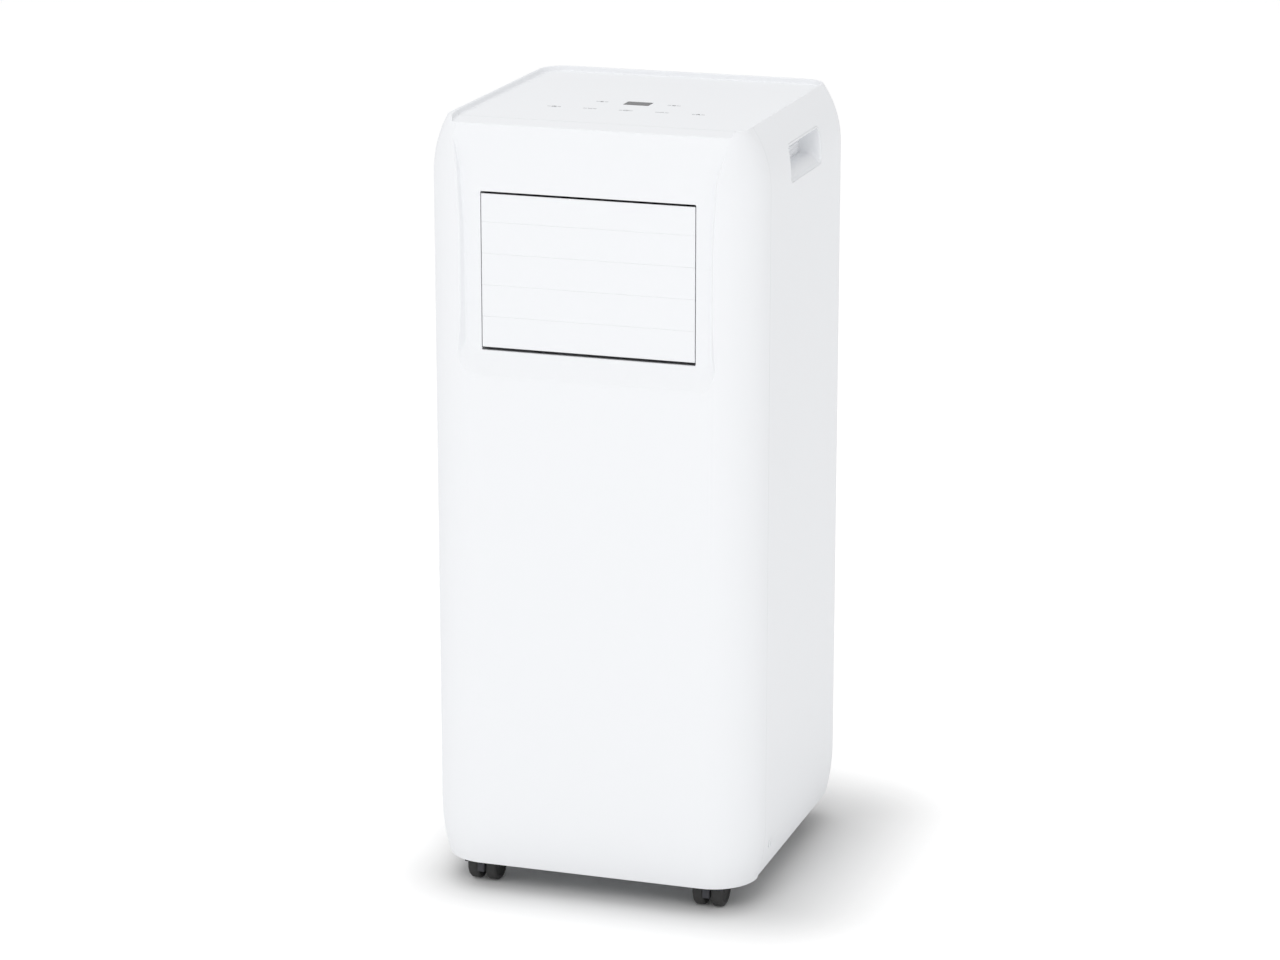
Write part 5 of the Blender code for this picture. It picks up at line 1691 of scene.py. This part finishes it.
    def star(self, at: tuple[float, float]) -> Shape:
        """Three crossed strokes.

        Args:
            at: The mark's middle.

        Returns:
            The mark.
        """
        centre, strokes = Vector(at), []
        for k in range(3):
            angle = k * math.radians(60)
            arm = Vector((math.cos(angle), math.sin(angle))) * self.mark_half
            strokes.append(self.stroke(centre - arm, centre + arm))
        return several(strokes)

    def crescent(self, at: tuple[float, float]) -> Shape:
        """A crescent.

        Args:
            at: The mark's middle.

        Returns:
            The mark.
        """
        r = self.mark_half
        outer = arc(*at, r, math.radians(50), 16, math.radians(260))
        inner = arc(at[0] + r * 0.55, at[1], r * 0.75, math.radians(285), 12, -math.radians(210))
        return self.flat(outer + inner)


# ---------------------------------------------------------------- louvre


@dataclass
class Louvre:
    """The five blades of the air outlet and what turns them."""

    seam: float = 0.0007
    thickness: float = 0.0022
    tip_share: float = 0.4
    axis_back: float = 0.0065
    pin_r: float = 0.0018
    curl: float = 0.0016
    score: float = 0.0007
    score_depth: float = 0.00016
    closed_gap: float = 0.00006
    dome: float = 0.00008
    dome_steps: int = 8
    ear: float = 0.002
    ear_half_height: float = 0.003
    ear_front: float = 0.6
    crank: float = 0.0026
    crank_thickness: float = 0.002
    link_pin_r: float = 0.0013

    def build(self, bench: Bench) -> None:
        """Builds and dresses the blades.

        Args:
            bench: Where pieces are dressed.
        """
        for number in range(1, BLADE_COUNT + 1):
            bench.stand_for(f"louvre_blade_{number}", self.blade(number))

    def profile(self, face: float, low: float, high: float, lowest: bool, highest: bool) -> Plan:
        """A blade's section: a faintly domed face between soft edges, with a curled foot on the lowest.

        Args:
            face: The Y of its face.
            low: Its lower edge.
            high: Its upper edge.
            lowest: Whether no blade is below it.
            highest: Whether no blade is above it.

        Returns:
            The section's points.
        """
        back, thin = face + self.thickness, face + self.tip_share * self.thickness
        top = high if highest else high + self.seam - self.closed_gap
        foot = self.curl if lowest else self.score
        depth = self.curl if lowest else self.score_depth
        points = [(back, low), (back, top - self.thickness), (thin, top)]
        head, head_depth = (self.seam, self.seam) if highest else (self.score, self.score_depth)
        points += self.eased((face, top - head), (face + head_depth, top))[::-1]
        for k in range(1, self.dome_steps):
            share = k / self.dome_steps
            z = top - head + (low + foot - top + head) * share
            points.append((face - self.dome * math.sin(math.pi * share), z))
        points += self.eased((face, low + foot), (face + depth, low))
        return [(y + self.dome, z) for y, z in points]

    @staticmethod
    def eased(start: tuple[float, float], end: tuple[float, float], steps: int = 4) -> Plan:
        """Points from a face round to its edge.

        Args:
            start: Where the face ends.
            end: The edge.
            steps: How many chords the bend has.

        Returns:
            The points, both ends included.
        """
        points = []
        for k in range(steps + 1):
            angle = QUARTER * k / steps
            y = start[0] + (end[0] - start[0]) * (1 - math.cos(angle))
            points.append((y, start[1] + (end[1] - start[1]) * math.sin(angle)))
        return points

    def blade(self, number: int) -> Shape:
        """One blade with its ears, pins and crank.

        Args:
            number: Its number, from the lowest.

        Returns:
            The blade.
        """
        node = f"louvre_blade_{number}"
        low, high = span(node)
        link_low, link_high = span("louvre_link")
        axis_y = low.y + self.axis_back
        pivots = {joint["child"]: joint["pos_m"] for joint in frame["joints"] if "pos_m" in joint}
        axis_z = pivots[node][2]
        crank_y = (link_low.y + link_high.y) / 2
        crank_x = link_high.x + GAP + self.crank_thickness / 2
        half = BLADE_FACE_HALF
        section = self.profile(low.y, low.z, high.z, number == 1, number == BLADE_COUNT)
        face = plate(section, -half, half, Facing.RIGHT)
        parts = []
        for side in (-1, 1):
            x0, x1 = sorted((side * half, side * (half - self.ear)))
            ear_low = (x0, low.y + self.thickness * self.ear_front, axis_z - self.ear_half_height)
            parts.append(box(ear_low, (x1, axis_y + self.pin_r, axis_z + self.ear_half_height)))
        parts.append(rod((half - self.ear / 2, axis_y, axis_z), (high.x, axis_y, axis_z), self.pin_r))
        parts.append(rod((self.ear / 2 - half, axis_y, axis_z), (crank_x, axis_y, axis_z), self.pin_r))
        crank_low = (crank_x - self.crank_thickness / 2, axis_y - self.crank, axis_z - self.crank)
        crank_high = (crank_x + self.crank_thickness / 2, crank_y + self.crank, axis_z + self.crank)
        parts.append(box(crank_low, crank_high))
        parts.append(rod((crank_x, crank_y, axis_z), (link_low.x, crank_y, axis_z), self.link_pin_r))
        return worked(face, *((Operation.JOIN, part) for part in parts))


# ---------------------------------------------------------------- castors


@dataclass
class Castors:
    """Four swivelling castors, each a hood over a pair of wheels."""

    wheel_r: float = 0.017
    wheel_width: float = 0.010
    web: float = 0.006
    clearance: float = 0.001
    wall: float = 0.0015
    axle_r: float = 0.0025
    neck_r: float = 0.0085
    neck_share: float = 0.72
    neck_top: float = 0.0427
    stem_r: float = 0.004
    trail: float = 0.008
    apron: float = 0.0025
    slot_rise: float = 0.0035
    hood_bevel: float = 0.0003
    far: float = 0.05
    back_drop: float = 0.0002
    back_round: tuple[float, float] = (0.0012, 0.0011)
    tread_round: float = 0.0016
    dish_shares: tuple[float, float, float, float] = (0.78, 0.72, 0.34, 0.28)
    dish_depth: float = 0.0014
    hub_drop: float = 0.0003
    wheel_bend: float = 0.0005

    def build(self, bench: Bench) -> None:
        """Builds and dresses every hood and every pair of wheels.

        Args:
            bench: Where pieces are dressed.
        """
        for corner in ("front_left", "front_right", "rear_left", "rear_right"):
            low, high = span(f"castor_wheels_{corner}")
            centre = (low + high) / 2
            hood = self.hood(centre, centre.y + self.trail, span(f"castor_hood_{corner}")[1].z)
            bench.stand_for(f"castor_hood_{corner}", hood, bevel=self.hood_bevel)
            bench.stand_for(f"castor_wheels_{corner}", self.wheels(centre))

    def hood(self, axle: Vector, stem_y: float, top: float) -> Shape:
        """A round hood with a web between the wheels and a stem.

        Args:
            axle: The middle of the axle.
            stem_y: The stem's Y.
            top: The stem's top.

        Returns:
            The hood.
        """
        x, y, z = axle
        half = self.web / 2 + self.wheel_width + 2 * self.clearance
        outer = self.wheel_r + self.clearance + self.wall
        body = rod((x - half, y, z), (x + half, y, z), outer, segments=96)
        neck_low = z + outer * self.neck_share
        neck = rod((x, stem_y, neck_low), (x, stem_y, self.neck_top), self.neck_r, segments=64)
        stem = rod((x, stem_y, neck_low + self.wall), (x, stem_y, top), self.stem_r)
        jobs = [(Operation.JOIN, neck), (Operation.JOIN, stem)]
        tread = self.wheel_r + self.clearance
        for side in (-1, 1):
            start, end = (x + side * self.web / 2, y, z), (x + side * (half + self.wall), y, z)
            jobs.append((Operation.CUT, rod(start, end, tread, segments=96)))
        under = z - self.axle_r - self.apron
        far = self.far
        jobs.append((Operation.CUT, box((x - far, y - far, z - far), (x + far, y + far, under))))
        for side in (-1, 1):
            x0, x1 = sorted((x + side * self.web / 2, x + side * far))
            jobs.append((Operation.CUT, box((x0, y - far, under - GAP), (x1, y + far, z + self.slot_rise))))
        jobs.append((Operation.CUT, rod((x - far, y, z), (x + far, y, z), self.axle_r + GAP)))
        return worked(body, *jobs)

    def wheels(self, axle: Vector) -> Shape:
        """Two wheels on one axle, each with a rounded tread and a dished hub.

        Args:
            axle: The middle of the axle.

        Returns:
            The wheels.
        """
        inner = self.web / 2 + self.clearance / 2
        outer = inner + self.wheel_width
        shapes = [rod((axle.x - inner, axle.y, axle.z), (axle.x + inner, axle.y, axle.z), self.axle_r)]
        r, back = self.wheel_r, inner - self.back_drop
        hub_face, dish = outer - self.hub_drop, outer - self.dish_depth
        rim, dish_outer, dish_inner, hub = (r * share for share in self.dish_shares)
        profile = [(0.0, back), (r - self.back_round[0], back), (r, inner + self.back_round[1])]
        profile += [(r, outer - self.tread_round), (r - self.tread_round, outer), (rim, outer)]
        profile += [(dish_outer, dish), (dish_inner, dish), (hub, hub_face), (0.0, hub_face)]
        for side in (-1, 1):
            turn = Matrix.Rotation(side * QUARTER, 4, "Y")
            bent = smoothed_corners(profile, self.wheel_bend)
            shapes.append(lathe(bent, Matrix.Translation(axle) @ turn, 96))
        return several(shapes)


# ---------------------------------------------------------------- rear fittings


@dataclass
class RearFittings:
    """Everything set into the rear wall."""

    grille_frame: float = 0.010
    slot_pitch: float = 0.0135
    slot_height: float = 0.0090
    slot_round: float = 0.48
    grille_corner: float = 0.006
    grille_bevel: float = 0.0005
    collar_wall: float = 0.0025
    collar_bore: float = 0.0645
    flange_depth: float = 0.004
    bore_round: float = 0.0008
    grooves: tuple[float, float] = (0.014, 0.009)
    groove_half: float = 0.0012
    groove_depth: float = 0.0008
    screw_seat: float = 0.0016
    tube_wall: float = 0.0015
    drain_bore: float = 0.0055
    drain_flange_depth: float = 0.006
    plug_seat: float = 0.0045
    plug_cap: float = 0.0038
    gland_bore: float = 0.0045

    def openings(self) -> Iterator[Shape]:
        """What is cut through the rear wall for them.

        Returns:
            The tools that cut it.
        """
        for name in ("upper_grille", "lower_grille"):
            low, high = span(name)
            outline = rounded(low.x - GAP, low.z - GAP, high.x + GAP, high.z + GAP, self.grille_corner)
            yield plate(outline, high.y - 2 * WALL, high.y + WALL, Facing.BACK)
        for name in ("exhaust_collar", "drain_port", "cord_gland"):
            centre, radius, rear = self.round_place(name)
            start, end = (centre.x, rear - 2 * WALL, centre.z), (centre.x, rear + WALL, centre.z)
            yield rod(start, end, radius + GAP, segments=128)
        for name in ("rear_screw_left", "rear_screw_right"):
            centre, radius, rear = self.round_place(name)
            for depth, reach in ((2 * WALL, SCREW_HOLE_R), (self.screw_seat, radius + GAP)):
                start, end = (centre.x, rear - depth, centre.z), (centre.x, rear + WALL, centre.z)
                yield rod(start, end, reach)

    @staticmethod
    def round_place(name: str) -> tuple[Vector, float, float]:
        """The centre, the radius and the rearmost Y of a round piece."""
        low, high = span(name)
        return (low + high) / 2, (high.x - low.x) / 2, high.y

    def build(self, bench: Bench) -> None:
        """Builds and dresses the grilles, the collar, the drain and the gland.

        Args:
            bench: Where pieces are dressed.
        """
        for name in ("upper_grille", "lower_grille"):
            bench.stand_for(name, self.grille(name), bevel=self.grille_bevel)
        bench.stand_for("exhaust_collar", self.collar())
        self.drain(bench)
        self.gland(bench)

    def grille(self, name: str) -> Shape:
        """A panel with two columns of round-ended slots.

        Args:
            name: The node.

        Returns:
            The panel.
        """
        low, high = span(name)
        centre = (low + high) / 2
        panel = plate(rounded(low.x, low.z, high.x, high.z, self.grille_corner), low.y, high.y, Facing.BACK)
        count = int((high.z - low.z - 2 * self.grille_frame) // self.slot_pitch)
        slots = []
        for k in range(count):
            z = centre.z + self.slot_pitch * (k - (count - 1) / 2)
            for side in (-1, 1):
                x0, x1 = sorted((side * self.grille_frame / 2, side * (high.x - self.grille_frame)))
                bottom, top = z - self.slot_height / 2, z + self.slot_height / 2
                outline = rounded(x0, bottom, x1, top, self.slot_height * self.slot_round, 8)
                slots.append(plate(outline, low.y - WALL, high.y + WALL, Facing.BACK))
        return worked(panel, (Operation.CUT, several(slots)))

    @staticmethod
    def axis(centre: Vector, rear: float) -> Matrix:
        """The axis of a piece turned about Y, its zero at the rear wall."""
        return Matrix.Translation((centre.x, rear, centre.z)) @ Matrix.Rotation(-QUARTER, 4, "X")

    def collar(self) -> Shape:
        """The round outlet: flange, bead, tube and two grooves that a hose grips.

        Returns:
            The collar.
        """
        centre, flange, rear = self.round_place("exhaust_collar")
        depth = span("exhaust_collar")[1].y - span("exhaust_collar")[0].y
        bore, tube, back = self.collar_bore, self.collar_bore + self.collar_wall, -self.flange_depth
        profile = [(bore, -self.bore_round), (bore + 0.0012, 0.0), (flange - 0.0022, 0.0), (flange, -0.0018)]
        profile += [(flange, back), (tube, back), (tube, -depth), (bore, -depth)]
        for groove in self.grooves:
            profile += [(bore, -groove - self.groove_half), (bore + self.groove_depth, -groove)]
            profile.append((bore, -groove + self.groove_half))
        return lathe(profile, self.axis(centre, rear), 160, ring=True)

    def drain(self, bench: Bench) -> None:
        """The drain port and its plug.

        Args:
            bench: Where pieces are dressed.
        """
        centre, flange, rear = self.round_place("drain_port")
        depth = span("drain_port")[1].y - span("drain_port")[0].y
        cap, plug_rear = self.round_place("drain_plug")[1:]
        bore, mouth, tube = self.drain_bore, cap + GAP, self.drain_bore + self.tube_wall
        back, seat = -self.drain_flange_depth, -self.plug_seat
        port = [(mouth, -0.0006), (mouth + 0.0006, 0.0), (flange - 0.0008, 0.0), (flange, -0.0008)]
        port += [(flange, back), (tube, back), (tube, -depth), (bore, -depth), (bore, seat), (mouth, seat)]
        bench.stand_for("drain_port", lathe(port, self.axis(centre, rear), 72, ring=True))
        end, under, stem = span("drain_plug")[0].y - plug_rear, -self.plug_cap, bore - GAP
        plug = [(0.0, 0.0), (cap * 0.62, 0.0), (cap * 0.70, -0.0007), (cap - 0.0009, -0.0007), (cap, -0.0016)]
        plug += [(cap, under), (stem, under), (stem, end + 0.001), (bore - 2 * GAP, end), (0.0, end)]
        turned = lathe(smoothed_corners(plug, 0.0003), self.axis(centre, plug_rear), 72)
        bench.stand_for("drain_plug", turned)

    def gland(self, bench: Bench) -> None:
        """The round gland with its stepped mouth.

        Args:
            bench: Where pieces are dressed.
        """
        centre, flange, rear = self.round_place("cord_gland")
        depth = span("cord_gland")[1].y - span("cord_gland")[0].y
        bore, tube, back = self.gland_bore, self.gland_bore + self.tube_wall, -self.flange_depth
        profile = [(bore, -self.bore_round), (bore + self.bore_round, 0.0), (flange - 0.0035, 0.0)]
        profile += [(flange - 0.003, -0.0007), (flange - 0.0009, -0.0007), (flange, -0.0016)]
        profile += [(flange, back), (tube, back), (tube, -depth), (bore, -depth)]
        bench.stand_for("cord_gland", lathe(profile, self.axis(centre, rear), 72, ring=True))


# ---------------------------------------------------------------- screws and machinery


@dataclass
class Screws:
    """The screws in the sides and in the rear, with a cross in each head."""

    head_height: float = 0.0013
    crown_share: float = 0.6
    crown_steps: int = 6
    shaft_r: float = 0.0014
    length: float = 0.010
    cross: float = 0.0005
    cross_reach: float = 0.55
    cross_depth: float = 0.7

    def build(self, bench: Bench) -> None:
        """Builds and dresses the four screws.

        Args:
            bench: Where pieces are dressed.
        """
        for side, name in ((-1, "left"), (1, "right")):
            low, high = span(f"side_screw_{name}")
            centre = (low + high) / 2
            outside = high.x if side > 0 else low.x
            at = Matrix.Translation((outside, centre.y, centre.z)) @ Matrix.Rotation(side * QUARTER, 4, "Y")
            bench.stand_for(f"side_screw_{name}", self.screw((high.z - low.z) / 2, at), WHITE_PLASTIC)
            low, high = span(f"rear_screw_{name}")
            at = RearFittings.axis((low + high) / 2, high.y)
            bench.stand_for(f"rear_screw_{name}", self.screw((high.z - low.z) / 2, at))

    def screw(self, head: float, at: Matrix) -> Shape:
        """One screw, its head's top at the matrix's origin.

        Args:
            head: The head's radius.
            at: Where it stands, its own Z pointing out.

        Returns:
            The screw.
        """
        crown = []
        for k in range(self.crown_steps + 1):
            angle = QUARTER * k / self.crown_steps
            drop = self.head_height * self.crown_share * (math.cos(angle) - 1)
            crown.append((head * math.sin(angle), drop))
        profile = [*crown, (head, -self.head_height), (self.shaft_r, -self.head_height)]
        profile += [(self.shaft_r, -self.length), (0.0, -self.length)]
        arm, low = head * self.cross_reach, -self.head_height * self.cross_depth
        jobs = []
        for long, short in ((arm, self.cross), (self.cross, arm)):
            tool = box((-long, -short, low), (long, short, self.head_height))
            tool.transform(at)
            jobs.append((Operation.CUT, tool))
        return worked(lathe(profile, at, 48), *jobs)


@dataclass
class InnerWorks:
    """The machinery inside, shown as the CAD part has it."""

    nodes: tuple[str, ...] = (
        "accumulator", "base_pan", "capillary_tube", "compressor", "compressor_mount_1", "compressor_mount_2",
        "compressor_mount_3", "condenser_coil", "control_board", "cool_fan", "cool_fan_housing",
        "cool_fan_motor", "discharge_pipe", "display_module", "drip_tray", "evaporator_coil", "exhaust_fan",
        "exhaust_fan_housing", "exhaust_fan_motor", "fan_deck", "filter_drier", "liquid_pipe", "louvre_frame",
        "louvre_link", "louvre_motor", "lower_filter", "power_box", "run_capacitor", "suction_pipe",
        "upper_filter",
    )

    def dress(self, bench: Bench) -> None:
        """Gives each node its finish.

        Args:
            bench: Where pieces are dressed.
        """
        for node in self.nodes:
            bench.dress(node)


# ---------------------------------------------------------------- studio


@dataclass(frozen=True)
class SoftLight:
    """One large lamp.

    Attributes:
        name: Its name.
        place: Where it hangs.
        aim: What it points at.
        size: How wide and how high it is.
        power: Its power in watts.
    """

    name: str
    place: tuple[float, float, float]
    aim: tuple[float, float, float]
    size: tuple[float, float]
    power: float

    def hang(self) -> None:
        """Adds the lamp to the scene."""
        lamp = bpy.data.lights.new(self.name, "AREA")
        lamp.shape = "RECTANGLE"
        lamp.size, lamp.size_y = self.size
        lamp.energy = self.power
        holder = bpy.data.objects.new(self.name, lamp)
        holder.location = self.place
        way = Vector(self.aim) - Vector(self.place)
        holder.rotation_euler = way.to_track_quat("-Z", "Y").to_euler()
        bpy.context.scene.collection.objects.link(holder)


@dataclass
class Studio:
    """The pale floor, the soft lights and the camera."""

    effects: Effects
    azimuth: float = 18.03
    elevation: float = 15.57
    distance: float = 3.6
    lens: float = 112.4
    sensor: float = 36.0
    farthest: float = 60.0
    aside: float = 0.0015
    aim_height: float = 0.3521
    # Where the floor's origin stands. This centres its painted shadow a little right of and behind the cabinet.
    painted_shadow_middle: tuple[float, float, float] = (0.030, 0.020, 0.0)
    floor_reach: float = 14.0
    floor_thickness: float = 0.02
    lights: tuple[SoftLight, ...] = (
        SoftLight("front_key", (0.2, -2.6, 2.7), (0.0, 0.0, 0.3), (1.8, 1.5), 21.0),
        SoftLight("right_fill", (2.9, -1.0, 1.6), (0.0, 0.0, 0.2), (1.8, 1.6), 1.0),
        SoftLight("overhead", (-0.5, 0.1, 3.0), (0.0, 0.0, 0.3), (1.8, 1.8), 11.0),
    )
    ambient: float = 0.73

    def build(self) -> None:
        """Adds the floor, the world, the lights and the camera."""
        self.floor()
        self.world()
        for light in self.lights:
            light.hang()
        self.camera()
        bpy.context.scene.view_settings.view_transform = "Standard"

    def floor(self) -> None:
        """A wide pale floor under the castors, with a painted shadow round the cabinet that centres on the floor's
        origin.
        """
        reach = self.floor_reach
        mesh = box((-reach, -reach, -self.floor_thickness), (reach, reach, 0.0))
        mesh.materials.append(FLOOR.made(self.effects))
        ground = as_object(mesh, "studio_floor")
        ground.location = self.painted_shadow_middle

    def world(self) -> None:
        """White where the camera sees it, and dimmer as a light."""
        world = bpy.data.worlds.new("studio_world")
        bpy.context.scene.world = world
        world.use_nodes = True
        tree = world.node_tree
        background = tree.nodes["Background"]
        background.inputs["Color"].default_value = (1.0, 1.0, 1.0, 1.0)
        path = add_node(tree, "ShaderNodeLightPath")
        spread = add_node(tree, "ShaderNodeMapRange")
        spread.inputs["To Min"].default_value = self.ambient
        spread.inputs["To Max"].default_value = 1.0
        tree.links.new(path.outputs["Is Camera Ray"], spread.inputs["Value"])
        tree.links.new(spread.outputs["Result"], background.inputs["Strength"])

    def camera(self) -> None:
        """The camera, in front of the cabinet and to its right."""
        around, up = math.radians(self.azimuth), math.radians(self.elevation)
        away = Vector((math.sin(around) * math.cos(up), -math.cos(around) * math.cos(up), math.sin(up)))
        right = Vector((math.cos(around), math.sin(around), 0.0))
        aim = Vector((0.0, 0.0, self.aim_height)) + right * self.aside
        seen = bpy.data.cameras.new("studio_camera")
        seen.lens = self.lens
        seen.sensor_width = self.sensor
        seen.clip_end = self.farthest
        holder = bpy.data.objects.new("studio_camera", seen)
        holder.location = aim + away * self.distance
        holder.rotation_euler = (-away).to_track_quat("-Z", "Y").to_euler()
        bpy.context.scene.collection.objects.link(holder)
        bpy.context.scene.camera = holder


# ---------------------------------------------------------------- the whole


def main() -> None:
    """Builds every sub-assembly in order and sets the studio round it."""
    logging.basicConfig(level=logging.INFO, format="%(name)s: %(message)s")
    effects = Effects()
    bench = Bench(effects)
    low, high = (Vector(corner) for corner in CAD_BOX)
    shell_low = span("front_shell")[0]
    form = CabinetForm(high.x - low.x, high.y - low.y, high.z - low.z, shell_low.z)
    cup_low, cup_high = span("handle_cup_right")
    handle = HandlePocket(
        form, cup_low.y - GAP, cup_high.y + GAP, cup_low.z - GAP, cup_high.z + GAP, cup_low.x
    )
    rear = RearFittings()
    screw_low, screw_high = span("side_screw_right")
    cabinet = Cabinet(
        form,
        seam_y=(span("front_shell")[1].y + span("rear_shell")[0].y) / 2,
        rear_bottom=span("rear_shell")[0].z,
        handle=handle,
        rear_openings=list(rear.openings()),
        screw_y=(screw_low.y + screw_high.y) / 2,
        screw_z=(screw_low.z + screw_high.z) / 2,
    )
    cabinet.build(bench)
    handle.build(bench)
    Controls(form.top).build(bench)
    Louvre().build(bench)
    Castors().build(bench)
    rear.build(bench)
    Screws().build(bench)
    InnerWorks().dress(bench)
    Studio(effects).build()


if __name__ == "__main__":
    main()
